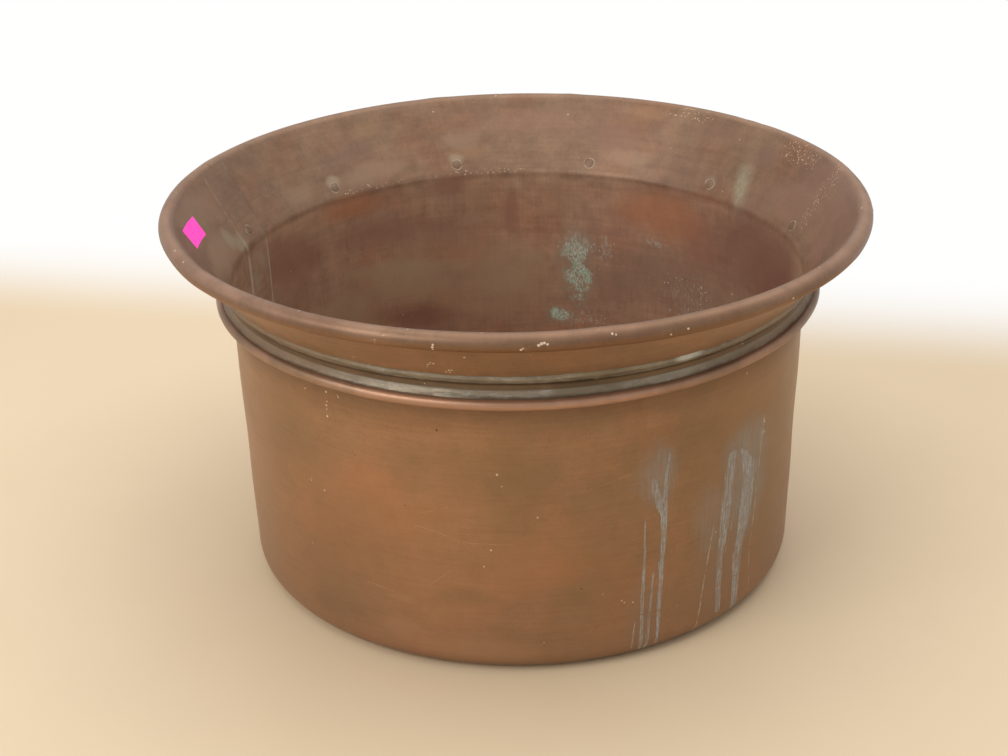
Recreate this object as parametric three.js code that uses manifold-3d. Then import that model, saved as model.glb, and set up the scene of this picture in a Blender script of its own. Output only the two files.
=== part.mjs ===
// Laundry copper boiler: a hand-made copper pan with a tapered side, a splayed collar rolled over a
// rod, and a riveted ledge ring by which it hung in its brick hearth.
// Millimetres, +Z up. The pan stands on Z = 0 and its axis is the Z axis.
import * as THREE from "three";
import { mergeVertices } from "three/addons/utils/BufferGeometryUtils.js";
import Module from "manifold-3d";

// The pan
const RIM_RADIUS = 426; // outside of the rolled edge
const RIM_HEIGHT = 461; // top of the rolled edge
const NECK_RADIUS = 348.7; // outside of the side, where its line meets the collar's
const NECK_HEIGHT = 367.5;
const BASE_RADIUS = 338.6; // outside of the side, carried on down to the floor
const BASE_CORNER = 26; // outside radius of the corner between side and bottom
const NECK_BEND = 8; // radius of the bend between side and collar
const SHEET = 1.6; // copper of side, collar and bottom
const CLEARANCE = 0.3; // between any two pieces that lie on each other

// The rolled edge
const ROLL_RADIUS = 10.4; // outside of the roll
const ROLL_LIP = 0.6; // left open between the sheet's raw edge and the collar

// The joints of the sheets
const BRAZE_WIDTH = 1.4; // brazing metal between side and bottom
const BASE_SEAM_HEIGHT = 60;
const SIDE_SEAM_OPENING = 0.8; // between the two ends of the side's sheet
const SIDE_SEAM_AZIMUTH = 163.2; // degrees, anticlockwise from +X
const SEAM_LEAN = 14; // how far the joint has crept sideways at the rim
const STRAP_WIDTH = 60; // strip brazed over the side's joint
const STRAP_SHEET = 1.2;

// The ledge ring
const BEAD_PROUD = 17.5; // how far the bead stands out past the neck
const BEAD_DROP = 14.5; // middle of the bead, below the neck
const BEAD_RADIUS = 6.2; // outside of the bead
const BEAD_WRAP = 295; // degrees of sheet round the ledge rod
const LEDGE_SHEET = 1.6;
const LEDGE_BEND = 6; // radius of the bend between flange and bead
const FLANGE_WIDTH = 12.4; // up the slope, from the bend's corner to the upper edge
const UPPER_SOLDER_FOOT = 3.6; // up the flange from the bend's corner, where the solder begins
const UPPER_SOLDER_COAT = 0.7; // thickness on the flange
const UPPER_SOLDER_LEG = 3.2; // up the collar from the flange's edge
const LOWER_SOLDER_RISE = 15; // up the drop, from the middle of the bead
const LOWER_SOLDER_END = 85; // degrees round the bead, where the lower solder ends on it
const SOLDER_HOLLOW = 0.45; // 0 is a flat fillet, 1 one drawn right into its corner

// The rivets
const RIVETS = 12;
const RIVET_SET = 6.3; // up the flange from the bend's corner
const SHANK_RADIUS = 3.5;
const HEAD_RADIUS = 6.5; // inside the collar
const HEAD_RISE = 1.4;
const TAIL_RADIUS = 4.5; // hammered over on the flange
const TAIL_RISE = 1.6;
const SHOULDER = 0.75; // where a head's or tail's dome turns, as a share of its radius and rise
const RIVET_SIDES = 8;

// The sticker inside the collar
const STICKER_AZIMUTH = 184;
const STICKER_DROP = 33.5; // its middle, below the top of the rim
const STICKER_LENGTH = 70; // round the collar
const STICKER_WIDTH = 27; // up the collar
const STICKER_TILT = -3.5; // degrees
const STICKER_PAPER = 0.3;

// Facets
const FACETS_PER_RIVET = 5; // each rivet sits on the middle of a facet
const SEGMENTS = FACETS_PER_RIVET * RIVETS; // round the pan
const BEND_STEPS = 3;
const ROLL_STEPS = 9;
const BEAD_STEPS = 7;
const ROD_SIDES = 5;
const HOLLOW_STEPS = 2;

const { degToRad } = THREE.MathUtils;
const wasm = await Module();
wasm.setup();

// ---- Lines in the section plane: x is the radius and y the height ----

const at = (radius, height) => new THREE.Vector2(radius, height);
const heading = (angle) => at(Math.cos(angle), Math.sin(angle));
const leftOf = (direction) => at(-direction.y, direction.x);
const moved = (start, direction, distance) => start.clone().addScaledVector(direction, distance);

// Points of an arc from one angle to another, both ends included.
function arc(centre, radius, from, to, steps) {
  return Array.from({ length: steps + 1 }, (_, i) =>
    moved(centre, heading(from + ((to - from) * i) / steps), radius),
  );
}

// The arc that rounds a corner entered in one direction and left in another.
function bend(corner, entering, leaving, radius) {
  const turn = Math.atan2(entering.cross(leaving), entering.dot(leaving));
  const side = Math.sign(turn);
  const start = moved(corner, entering, -radius * Math.tan(Math.abs(turn) / 2));
  const centre = moved(start, leftOf(entering), side * radius);
  const first = start.clone().sub(centre).angle();
  return arc(centre, radius, first, first + turn, BEND_STEPS);
}

// Lines joined end to end, with the points that they share kept once.
function joined(...lines) {
  return lines.flat().filter((p, i, all) => !i || p.distanceTo(all[i - 1]) > 1e-6);
}

// A line moved to its left by a distance, mitred at its points.
function beside(line, distance) {
  return line.map((p, i) => {
    const before = i && p.clone().sub(line[i - 1]).normalize();
    const after = i < line.length - 1 && line[i + 1].clone().sub(p).normalize();
    const along = (before || after).clone().add(after || before).normalize();
    return moved(p, leftOf(along), distance / along.dot(after || before));
  });
}

// The outline of a sheet whose middle follows a line.
const sheetOutline = (line, thickness) => [
  ...beside(line, -thickness / 2),
  ...beside(line, thickness / 2).reverse(),
];

// ---- Solids ----

// A section turned about the axis. The pan's own facets are centred on the side seam.
function revolved(outline, sides = SEGMENTS, firstEdge = SIDE_SEAM_AZIMUTH + 180 / SEGMENTS) {
  const profile = THREE.ShapeUtils.area(outline) < 0 ? [...outline].reverse() : [...outline];
  const endsOnAxis = Math.abs(profile[0].x) < 1e-9 && Math.abs(profile.at(-1).x) < 1e-9;
  if (!endsOnAxis) profile.push(profile[0]);
  const phiStart = degToRad(firstEdge + 90);
  return new THREE.LatheGeometry(profile, sides, phiStart, 2 * Math.PI).rotateX(Math.PI / 2);
}

// A closed geometry as a solid that can be joined and cut.
function solid(geometry) {
  const shape = new THREE.BufferGeometry();
  shape.setAttribute("position", geometry.getAttribute("position"));
  shape.setIndex(geometry.index);
  const merged = mergeVertices(shape, 1e-3);
  return new wasm.Manifold(
    new wasm.Mesh({
      numProp: 3,
      vertProperties: merged.attributes.position.array,
      triVerts: new Uint32Array(merged.index.array),
    }),
  );
}

function geometryOf(made) {
  const mesh = made.getMesh();
  const geometry = new THREE.BufferGeometry();
  geometry.setAttribute("position", new THREE.BufferAttribute(mesh.vertProperties, 3));
  geometry.setIndex(new THREE.BufferAttribute(mesh.triVerts, 1));
  const faceted = geometry.toNonIndexed();
  faceted.computeVertexNormals();
  return faceted;
}

// ---- Lines of the pan ----

const sideRun = at(NECK_RADIUS - BASE_RADIUS, NECK_HEIGHT).normalize();
const sideFoot = moved(at(BASE_RADIUS, 0), leftOf(sideRun), SHEET / 2);
const neck = moved(at(NECK_RADIUS, NECK_HEIGHT), leftOf(sideRun), SHEET / 2);
const sideAt = (height) => moved(sideFoot, sideRun, (height - sideFoot.y) / sideRun.y);

// The collar runs straight up to the roll and turns into it without a crease inside.
const rollCentre = at(RIM_RADIUS - ROLL_RADIUS, RIM_HEIGHT - ROLL_RADIUS);
const rollLine = ROLL_RADIUS - SHEET / 2;
const toRoll = rollCentre.clone().sub(neck);
const collarRun = heading(toRoll.angle() + Math.asin(rollLine / toRoll.length()));
const collarInward = leftOf(collarRun);
const collarTop = moved(rollCentre, collarInward, rollLine);
const collarAt = (height, inward = 0) => {
  const start = moved(neck, collarInward, inward);
  return moved(start, collarRun, (height - start.y) / collarRun.y);
};

const neckLine = bend(neck, sideRun, collarRun, NECK_BEND);
const lipAngle = Math.acos((rollLine - SHEET / 2 - ROLL_LIP) / ROLL_RADIUS);
const rollStart = collarInward.angle();
const rollEnd = rollStart + lipAngle - 2 * Math.PI;
const roll = arc(rollCentre, rollLine, rollStart, rollEnd, ROLL_STEPS);

// ---- Lines of the ledge ring ----

const flangeInward = -(SHEET / 2 + CLEARANCE + LEDGE_SHEET / 2);
const beadCentre = at(NECK_RADIUS + BEAD_PROUD - BEAD_RADIUS, NECK_HEIGHT - BEAD_DROP);
const beadLine = BEAD_RADIUS - LEDGE_SHEET / 2;
const flangeFoot = collarAt(NECK_HEIGHT, flangeInward);
const dropRadius = beadCentre.x - beadLine;
const dropCorner = moved(flangeFoot, collarRun, (dropRadius - flangeFoot.x) / collarRun.x);
const upFlange = (distance, outward = 0) =>
  moved(moved(dropCorner, collarRun, distance), collarInward, -outward);
const flangeTop = upFlange(FLANGE_WIDTH);
const down = at(0, -1);
const flangeDown = collarRun.clone().negate();
const ledgeBend = bend(dropCorner, flangeDown, down, LEDGE_BEND);
const bead = arc(beadCentre, beadLine, Math.PI, Math.PI + degToRad(BEAD_WRAP), BEAD_STEPS);
const ledgeLine = joined([flangeTop], ledgeBend, bead);

// ---- Places on the collar and cuts through it ----

// A frame at a point on the middle of the collar's sheet: X up the slope, Y round the pan, Z inward.
// The middle of a facet lies a little nearer the axis than its edges.
function onCollar(azimuth, foot) {
  const facetRadius = foot.x * Math.cos(Math.PI / SEGMENTS);
  const lean = Math.atan2(-collarRun.y, collarRun.x);
  return new THREE.Matrix4()
    .makeRotationZ(degToRad(azimuth))
    .multiply(new THREE.Matrix4().makeTranslation(facetRadius, 0, foot.y))
    .multiply(new THREE.Matrix4().makeRotationY(lean));
}

const rivetPlace = (i) =>
  onCollar(SIDE_SEAM_AZIMUTH - (360 / RIVETS) * i, upFlange(RIVET_SET, flangeInward));

// A hole round one part of a rivet, cut through everything that lies on the collar.
function holeAtRivet(i, partRadius) {
  const radius = partRadius + CLEARANCE;
  const depth = 4 * (SHEET + LEDGE_SHEET + STRAP_SHEET);
  const outline = [at(0, -depth), at(radius, -depth), at(radius, depth), at(0, depth)];
  return solid(revolved(outline, RIVET_SIDES, 0).applyMatrix4(rivetPlace(i)));
}

const rivetHoles = () => Array.from({ length: RIVETS }, (_, i) => holeAtRivet(i, SHANK_RADIUS));
const drilled = (sheet, holes) => holes.reduce((left, hole) => left.subtract(hole), sheet);

// An upright band of a given width along the side seam: straight below, leaning over the collar.
function seamBand(width) {
  const half = width / 2;
  const shift = (radius) => (SEAM_LEAN * (radius - neck.x)) / (rollCentre.x - neck.x);
  const inside = neck.x / 2;
  const outside = RIM_RADIUS * 1.1;
  const plan = new THREE.Shape([
    at(inside, -half),
    at(neck.x, -half),
    at(outside, -half - shift(outside)),
    at(outside, half - shift(outside)),
    at(neck.x, half),
    at(inside, half),
  ]);
  const height = RIM_HEIGHT * 1.2;
  const band = new THREE.ExtrudeGeometry(plan, { depth: height, bevelEnabled: false });
  band.translate(0, 0, -height / 12).rotateZ(degToRad(SIDE_SEAM_AZIMUTH));
  return solid(band);
}

// ---- Pieces ----

const material = (color, roughness, metalness) =>
  new THREE.MeshStandardMaterial({ color, roughness, metalness });
const copper = material(0x96623f, 0.42, 1);
const innerCopper = material(0x6f4a38, 0.5, 1);
const ledgeCopper = material(0x7a5a42, 0.45, 1);
const spelter = material(0xa98a4c, 0.5, 1);
const solder = material(0x75796b, 0.6, 0.8);
const iron = material(0x3a3532, 0.7, 1);
const rivetCopper = material(0x6b4c3c, 0.45, 1);
const pinkPaper = material(0xff64c8, 0.6, 0);

const boiler = new THREE.Group();
function piece(name, geometry, finish) {
  const mesh = new THREE.Mesh(geometry, finish);
  mesh.name = name;
  boiler.add(mesh);
  return mesh;
}

// Side, collar and roll are one sheet, bent round until its ends meet at the side seam.
const braze = BRAZE_WIDTH / 2;
const bodyLine = joined(
  [sideAt(BASE_SEAM_HEIGHT + braze + CLEARANCE)],
  neckLine,
  roll,
);
const bodyShell = solid(revolved(sheetOutline(bodyLine, SHEET)));
const openBody = bodyShell.subtract(seamBand(SIDE_SEAM_OPENING));
piece("body_sheet", geometryOf(drilled(openBody, rivetHoles())), copper);

// The bottom is raised in one piece with the lowest part of the side.
const bottomCorner = sideAt(SHEET / 2);
const cornerBend = BASE_CORNER - SHEET / 2;
const panLine = joined(
  [at(0, SHEET / 2)],
  bend(bottomCorner, at(1, 0), sideRun, cornerBend),
  [sideAt(BASE_SEAM_HEIGHT - braze - CLEARANCE)],
);
piece("base_pan", revolved(sheetOutline(panLine, SHEET)), copper);

const baseBrazeLine = [sideAt(BASE_SEAM_HEIGHT - braze), sideAt(BASE_SEAM_HEIGHT + braze)];
piece("base_braze", revolved(sheetOutline(baseBrazeLine, SHEET)), spelter);

// The strap runs up inside the side seam, from above the base joint to where the roll begins.
const strapLine = beside(
  joined([sideAt(BASE_SEAM_HEIGHT + STRAP_SHEET)], neckLine, [collarTop]),
  SHEET / 2 + CLEARANCE + STRAP_SHEET / 2,
);
const strapShell = solid(revolved(sheetOutline(strapLine, STRAP_SHEET)));
const strap = strapShell.intersect(seamBand(STRAP_WIDTH));
piece("seam_strap", geometryOf(drilled(strap, [holeAtRivet(0, SHANK_RADIUS)])), innerCopper);

// The two rods are closed rings inside the roll and the bead, clear of their flat facets.
function rod(name, centre, wrapRadius, wrapStep) {
  const radius = wrapRadius * Math.cos(wrapStep / 2) - CLEARANCE;
  const outline = arc(centre, radius, 0, 2 * Math.PI, ROD_SIDES).slice(0, -1);
  piece(name, revolved(outline), iron);
}
rod("rim_rod", rollCentre, ROLL_RADIUS - SHEET, (rollStart - rollEnd) / ROLL_STEPS);
rod("ledge_rod", beadCentre, BEAD_RADIUS - LEDGE_SHEET, degToRad(BEAD_WRAP) / BEAD_STEPS);

// The ledge ring is one strip: a flange on the collar, a short drop, and a bead rolled at its edge.
const ledgeShell = solid(revolved(sheetOutline(ledgeLine, LEDGE_SHEET)));
piece("ledge_ring", geometryOf(drilled(ledgeShell, rivetHoles())), ledgeCopper);

// Solder wiped over the flange and its upper edge, and a little way up the collar. The rivets' tails
// stand in it.
const onFlange = LEDGE_SHEET / 2 + CLEARANCE;
const onCollarFace = -LEDGE_SHEET / 2;
const coatFace = onFlange + UPPER_SOLDER_COAT;
const upperSolderOutline = [
  upFlange(UPPER_SOLDER_FOOT, onFlange),
  upFlange(UPPER_SOLDER_FOOT + UPPER_SOLDER_COAT, coatFace),
  upFlange(FLANGE_WIDTH, coatFace),
  upFlange(FLANGE_WIDTH + UPPER_SOLDER_LEG, onCollarFace),
  upFlange(FLANGE_WIDTH + CLEARANCE, onCollarFace),
  upFlange(FLANGE_WIDTH + CLEARANCE, onFlange),
];
const tailHoles = Array.from({ length: RIVETS }, (_, i) => holeAtRivet(i, TAIL_RADIUS));
const upperSolder = drilled(solid(revolved(upperSolderOutline)), tailHoles);
piece("upper_solder", geometryOf(upperSolder), solder);

// Solder in the corner between the drop and the bead, with a hollow face. It can't rise past the drop.
const dropFace = dropRadius + onFlange;
const dropTop = ledgeBend.at(-1).y;
const solderOnBead = BEAD_RADIUS + CLEARANCE;
const solderTop = at(dropFace, Math.min(beadCentre.y + LOWER_SOLDER_RISE, dropTop));
const beadTouch = Math.acos((dropFace - beadCentre.x) / solderOnBead);
const beadEnd = degToRad(LOWER_SOLDER_END);
const overBead = arc(beadCentre, solderOnBead, beadTouch, beadEnd, BEND_STEPS);
const solderChord = solderTop.clone().lerp(overBead.at(-1), 0.5);
const hollow = new THREE.QuadraticBezierCurve(
  overBead.at(-1),
  solderChord.lerp(overBead[0], SOLDER_HOLLOW),
  solderTop,
);
const lowerSolderOutline = joined(
  [solderTop],
  overBead,
  hollow.getPoints(HOLLOW_STEPS).slice(0, -1),
);
piece("lower_solder", revolved(lowerSolderOutline), solder);

// The rivets: a low head inside the collar, a shank, and a tail hammered over on the flange. The
// rivet on the side seam holds the strap as well.
for (let i = 0; i < RIVETS; i++) {
  const strapUnder = i === 0 ? STRAP_SHEET + CLEARANCE : 0;
  const headSeat = SHEET / 2 + strapUnder + CLEARANCE;
  const tailSeat = -(SHEET / 2 + CLEARANCE + LEDGE_SHEET + CLEARANCE);
  const outline = [
    at(0, tailSeat - TAIL_RISE),
    at(TAIL_RADIUS * SHOULDER, tailSeat - TAIL_RISE * SHOULDER),
    at(TAIL_RADIUS, tailSeat),
    at(SHANK_RADIUS, tailSeat),
    at(SHANK_RADIUS, headSeat),
    at(HEAD_RADIUS, headSeat),
    at(HEAD_RADIUS * SHOULDER, headSeat + HEAD_RISE * SHOULDER),
    at(0, headSeat + HEAD_RISE),
  ];
  const rivet = piece(
    `rivet_${String(i + 1).padStart(2, "0")}`,
    revolved(outline, RIVET_SIDES, 0),
    rivetCopper,
  );
  rivet.applyMatrix4(rivetPlace(i));
}

// The sticker is bent to the collar: a paper-thin shell cut to its rectangle.
const stickerInward = SHEET / 2 + CLEARANCE + STICKER_PAPER / 2;
const stickerLine = [collarAt(NECK_HEIGHT, stickerInward), collarAt(RIM_HEIGHT, stickerInward)];
const stickerShell = solid(revolved(sheetOutline(stickerLine, STICKER_PAPER)));
const stickerBlock = new THREE.BoxGeometry(STICKER_WIDTH, STICKER_LENGTH, NECK_RADIUS / 4)
  .rotateZ(degToRad(STICKER_TILT))
  .applyMatrix4(onCollar(STICKER_AZIMUTH, collarAt(RIM_HEIGHT - STICKER_DROP)));
piece("lot_sticker", geometryOf(stickerShell.intersect(solid(stickerBlock))), pinkPaper);

export default boiler;
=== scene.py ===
import math

import bmesh
import bpy
import numpy as np
from mathutils import Matrix, Vector


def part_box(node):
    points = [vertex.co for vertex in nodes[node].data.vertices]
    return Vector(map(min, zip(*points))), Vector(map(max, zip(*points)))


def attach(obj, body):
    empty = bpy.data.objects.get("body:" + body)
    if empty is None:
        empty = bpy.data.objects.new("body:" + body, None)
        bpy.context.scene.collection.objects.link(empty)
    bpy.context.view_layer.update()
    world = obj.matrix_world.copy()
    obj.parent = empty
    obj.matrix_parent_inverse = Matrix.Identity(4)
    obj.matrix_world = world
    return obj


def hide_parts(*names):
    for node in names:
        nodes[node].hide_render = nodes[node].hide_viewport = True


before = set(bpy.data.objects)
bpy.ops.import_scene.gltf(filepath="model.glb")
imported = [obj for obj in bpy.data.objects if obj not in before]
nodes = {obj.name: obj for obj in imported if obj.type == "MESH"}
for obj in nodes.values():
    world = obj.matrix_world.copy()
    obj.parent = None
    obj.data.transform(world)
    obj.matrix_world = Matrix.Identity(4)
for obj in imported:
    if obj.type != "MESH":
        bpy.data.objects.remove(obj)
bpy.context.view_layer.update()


# ---- Rods -----------------------------------------------------------------------------------------
# Two round iron rods are bent to rings, one for the rim and a thinner one for the ledge. The copper
# is rolled round them later, so they stiffen its two edges from inside.


def rgb(red, green, blue):
    """A colour from its 0 to 255 values on a screen, as the linear colour that a shader takes."""
    parts = np.array([red, green, blue]) / 255
    linear = np.where(parts <= 0.04045, parts / 12.92, ((parts + 0.055) / 1.055) ** 2.4)
    return (*linear.tolist(), 1.0)


def add(kind, inputs, output=0, tree=None, **settings):
    """Adds a shader node where its inputs come from, sets or links them, and returns an output."""
    inputs = dict(inputs)
    tree = tree or next(v.id_data for v in inputs.values() if isinstance(v, bpy.types.NodeSocket))
    made = tree.nodes.new("ShaderNode" + kind)
    for label, value in settings.items():
        setattr(made, label, value)
    for key, value in inputs.items():
        if isinstance(value, bpy.types.NodeSocket):
            tree.links.new(value, made.inputs[key])
        else:
            made.inputs[key].default_value = value
    return made.outputs[output]


def worked(operation, *values):
    """A Math node on numbers or sockets."""
    return add("Math", enumerate(values), operation=operation)


def times(first, *others):
    """Masks or numbers multiplied."""
    for other in others:
        first = worked("MULTIPLY", first, other)
    return first


def thinned(mask, strength):
    """A mask made fainter, unless its strength is 1."""
    return mask if strength == 1 else times(mask, strength)


def most(first, *others):
    """The greatest of several masks."""
    for other in others:
        first = worked("MAXIMUM", first, other)
    return first


def spread(value, factor, start):
    """A value times a factor, plus a start."""
    return worked("MULTIPLY_ADD", value, factor, start)


def vector_worked(operation, *values, output=0):
    """A Vector Math node. A length, distance or dot product comes out of its second socket."""
    return add("VectorMath", enumerate(values), output, operation=operation)


def stretched(vector, share):
    """A vector with its parts multiplied, so that a pattern on it is drawn out."""
    return vector_worked("MULTIPLY", vector, share)


def scaled(vector, factor):
    """A vector times a number."""
    return add("VectorMath", {0: vector, 3: factor}, operation="SCALE")


def split(vector):
    """The three parts of a vector or colour."""
    return add("SeparateXYZ", {0: vector}).node.outputs


def mixed(share, first, second, blend="MIX"):
    """Two colours mixed, or the first one multiplied by the second, to some share."""
    return add("Mix", {0: share, 6: first, 7: second}, 2, data_type="RGBA", blend_type=blend)


def between(share, first, second):
    """Two numbers mixed."""
    return add("Mix", {0: share, 2: first, 3: second}, data_type="FLOAT")


def ramp(value, low, high):
    """0 up to low, 1 from high on, and a smooth step between them."""
    return add("MapRange", {0: value, 1: low, 2: high}, interpolation_type="SMOOTHSTEP")


def noise(vector, scale, detail, roughness=0.55, distortion=0, output=0):
    """Noise from 0 to 1, with scale in bumps per metre. Output 1 is three noises in one vector."""
    sizes = {"Vector": vector, "Scale": scale, "Detail": detail}
    return add("TexNoise", sizes | {"Roughness": roughness, "Distortion": distortion}, output)


def effect(name, inputs, outputs, build):
    """A shader node group. build gets a socket for each of its inputs and returns a list of results."""
    tree = bpy.data.node_groups.new(name, "ShaderNodeTree")
    for label, value in inputs.items():
        kind = {float: "Float", tuple: "Color"}.get(type(value), "Vector")
        socket = tree.interface.new_socket(name=label, in_out="INPUT", socket_type="NodeSocket" + kind)
        if value is not None:
            socket.default_value = value
    for label, kind in outputs.items():
        tree.interface.new_socket(name=label, in_out="OUTPUT", socket_type="NodeSocket" + kind)
    given = list(tree.nodes.new("NodeGroupInput").outputs)[: len(inputs)]
    results = tree.nodes.new("NodeGroupOutput").inputs
    for made, socket in zip(build(*given), results):
        tree.links.new(made, socket)
    return tree


def placed(effect, *values):
    """A node group put into a material, with its inputs in order: its first output."""
    return add("Group", enumerate(values), node_tree=effect)


def tarnished(vector, drawn, sound, dull, warm, clouds, gloss, mottle):
    """Old metal: a sound colour that goes over to a dull one and a warm one in clouds, then small
    blotches, grain, and fine marks that are drawn out along the work. All of it is noise."""
    cloudy = noise(vector, clouds, 5, 0.6, distortion=0.4)
    aside = vector_worked("ADD", vector, (3.1, 5.7, 1.3))
    blooms = noise(aside, times(clouds, 2.3), 6, 0.62)
    blotches = noise(aside, 42, 5, 0.65)
    grain = noise(vector, 380, 3, 0.6)
    lines = noise(stretched(vector, drawn), 240, 4, 0.65)
    colour = mixed(ramp(cloudy, 0.38, 0.64), sound, dull)
    colour = mixed(times(ramp(blooms, 0.46, 0.7), 0.8), colour, warm)
    level = spread(blotches, mottle, 1)
    level = worked("SUBTRACT", level, times(mottle, 0.5))
    level = worked("ADD", level, spread(grain, 0.30, -0.15))
    level = worked("ADD", level, spread(lines, 0.34, -0.17))
    colour = mixed(1.0, colour, level, "MULTIPLY")
    rough = worked("ADD", gloss, spread(cloudy, 0.14, -0.07))
    rough = worked("ADD", rough, spread(blotches, 0.2, -0.1))
    return [colour, rough, spread(grain, 0.5, lines)]


TARNISH = effect(
    "Tarnish",
    {"Vector": None, "Drawn": None, "Sound": rgb(170, 110, 70), "Dull": rgb(110, 75, 55),
     "Warm": rgb(180, 100, 60), "Clouds": 4.0, "Gloss": 0.38, "Mottle": 0.45},
    {"Colour": "Color", "Roughness": "Float", "Height": "Float"}, tarnished,
)
LEVEL_MARKS = (0.07, 0.07, 1.0)  # marks that run round the pan
UPRIGHT_MARKS = (1.0, 1.0, 0.06)


class Finish:
    """A material under way: each coat covers what lies under it, and done() sets up the shader."""

    def __init__(self, name, metallic):
        self.material = bpy.data.materials.new(name)
        self.material.use_nodes = True
        self.tree = self.material.node_tree
        self.shader = self.tree.nodes["Principled BSDF"]
        self.vector = add("TexCoord", {}, "Object", self.tree)
        self.colour = self.rough = self.height = None
        self.metallic = metallic
        self.tears = {}

    def tarnish(self, sound, dull, warm, clouds, gloss, drawn=LEVEL_MARKS, mottle=0.45):
        """The bare metal, in three tones."""
        tones = [rgb(*tone) for tone in (sound, dull, warm)]
        made = placed(TARNISH, self.vector, drawn, *tones, clouds, gloss, mottle).node.outputs
        self.colour, self.rough, self.height = made

    def noise(self, scale, detail, roughness=0.55, share=None):
        """Noise on the piece, drawn out by multiplying its place by a share."""
        return noise(stretched(self.vector, share) if share else self.vector, scale, detail, roughness)

    def field(self, label):
        """A number that the mesh holds at each point."""
        return add("Attribute", {}, "Fac", self.tree, attribute_name=label)

    def torn(self, scale):
        """Noise in three directions about 0, which makes an edge ragged. One scale is made once."""
        if scale not in self.tears:
            made = noise(self.vector, scale, 6, 0.65, output=1)
            self.tears[scale] = vector_worked("SUBTRACT", made, (0.5, 0.5, 0.5))
        return self.tears[scale]

    def cover(self, mask, strength, tone, rough=None, metallic=None, rise=0.0):
        """Lays a coat over what is there: a tone from 0 to 255, or a colour made by other nodes."""
        mask = thinned(mask, strength)
        colour = rgb(*tone) if isinstance(tone, tuple) else tone
        self.colour = mixed(mask, self.colour, colour)
        if rough is not None:
            self.rough = between(mask, self.rough, rough)
        if metallic is not None:
            self.metallic = between(mask, self.metallic, metallic)
        if rise:
            self.height = worked("ADD", self.height, times(mask, rise))

    def darken(self, share, factor):
        """Multiplies the colour by another one, to some share."""
        self.colour = mixed(share, self.colour, factor, "MULTIPLY")

    def done(self, depth=0.0003, strength=0.35):
        """Links what changes over the surface, and sets what doesn't."""
        values = {"Base Color": self.colour, "Roughness": self.rough, "Metallic": self.metallic}
        if self.height is not None:
            sizes = {"Strength": strength, "Distance": depth, "Height": self.height}
            values["Normal"] = add("Bump", sizes)
        for label, value in values.items():
            if isinstance(value, bpy.types.NodeSocket):
                self.tree.links.new(value, self.shader.inputs[label])
            else:
                self.shader.inputs[label].default_value = value
        return self.material


def iron_finish():
    """Black iron with rust coming through."""
    finish = Finish("black_iron", metallic=0.9)
    finish.tarnish((78, 72, 68), (58, 50, 46), (104, 66, 44), clouds=20.0, gloss=0.55)
    return finish.done()


iron = iron_finish()
for rod in ("rim_rod", "ledge_rod"):
    nodes[rod].data.materials.clear()
    nodes[rod].data.materials.append(iron)


# ---- Bottom ---------------------------------------------------------------------------------------
# The bottom is raised from a round of sheet copper: a flat disc whose edge turns up into the lowest
# part of the side. Its upper edge meets the side's sheet edge to edge, and is brazed to it.

SHEET = 0.0016
BASE_RADIUS = 0.3386  # outside of the side, carried on down to the floor
BASE_CORNER = 0.026  # outside radius of the corner between side and bottom
NECK_RADIUS = 0.3487  # outside of the side, where its line meets the collar's
NECK_HEIGHT = 0.3675
BASE_SEAM_HEIGHT = 0.060
BRAZE_WIDTH = 0.0014
AROUND = 640  # steps round the pan
BOTTOM_AROUND = 480
TOUCHING = 1e-7  # points as near as this are one


def straight(start, end, step):
    """Points from start to end, both included. A point of the section is a complex number: its
    radius plus i times its height."""
    count = max(1, math.ceil(abs(end - start) / step))
    return start + (end - start) * np.arange(count + 1) / count


def arc(centre, radius, first, last, step):
    """Points of an arc between two angles: centre plus radius times e to the i times the angle."""
    count = max(2, math.ceil(abs(last - first) * radius / step))
    return centre + radius * np.exp(1j * (first + (last - first) * np.arange(count + 1) / count))


def bend(corner, entering, leaving, radius, step):
    """The arc that rounds a corner: it starts radius times tan(half the turn) before the corner, and
    its centre is one radius to the side that the line turns to."""
    turn = np.angle(leaving / entering)
    start = corner - entering * radius * math.tan(abs(turn) / 2)
    centre = start + 1j * entering * radius * np.sign(turn)
    first = np.angle(start - centre)
    return arc(centre, radius, first, first + turn, step)


def joined(*lines):
    """Lines end to end, with each point that two of them share kept once."""
    points = np.concatenate(lines)
    return points[np.r_[True, abs(np.diff(points)) > TOUCHING]]


def beside(line, distance):
    """The line moved to its left: each point goes along the mean of the normals before and after it,
    by the distance over the cosine of half the angle between them."""
    way = np.diff(line)
    way = way / abs(way)
    before, after = np.r_[way[:1], way], np.r_[way, way[-1:]]
    mean = before + after
    mean = mean / abs(mean)
    return line + 1j * mean * distance / (mean * after.conj()).real


def sheet_section(line, thickness, rounded=(True, True)):
    """The closed outline of a sheet whose middle follows a line: its right side forwards and its left
    side back, with half circles for raw edges. Also the side that each point lies on, 1 for left and -1
    for right, and the number of its point on the line."""
    half = thickness / 2
    line = line.copy()
    way = np.array([line[0] - line[1], line[-1] - line[-2]])
    way = way / abs(way)
    line[0] -= way[0] * half * rounded[0]
    line[-1] -= way[1] * half * rounded[1]
    nose = np.exp(1j * np.linspace(-math.pi / 2, math.pi / 2, 7)[1:-1])
    last = len(line) - 1
    caps = [end + out * half * nose[: 5 * use] for end, out, use in zip(line[[0, -1]], way, rounded)]
    outline = np.concatenate([beside(line, -half), caps[1], beside(line, half)[::-1], caps[0]])
    ends = [last] * len(caps[1]), [0] * len(caps[0])
    along = np.concatenate([np.arange(last + 1), ends[0], np.arange(last, -1, -1), ends[1]]).astype(int)
    side = np.repeat([-1, 1, 1, -1], [last + 1, len(caps[1]), last + 1, len(caps[0])])
    return outline, side, along


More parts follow.
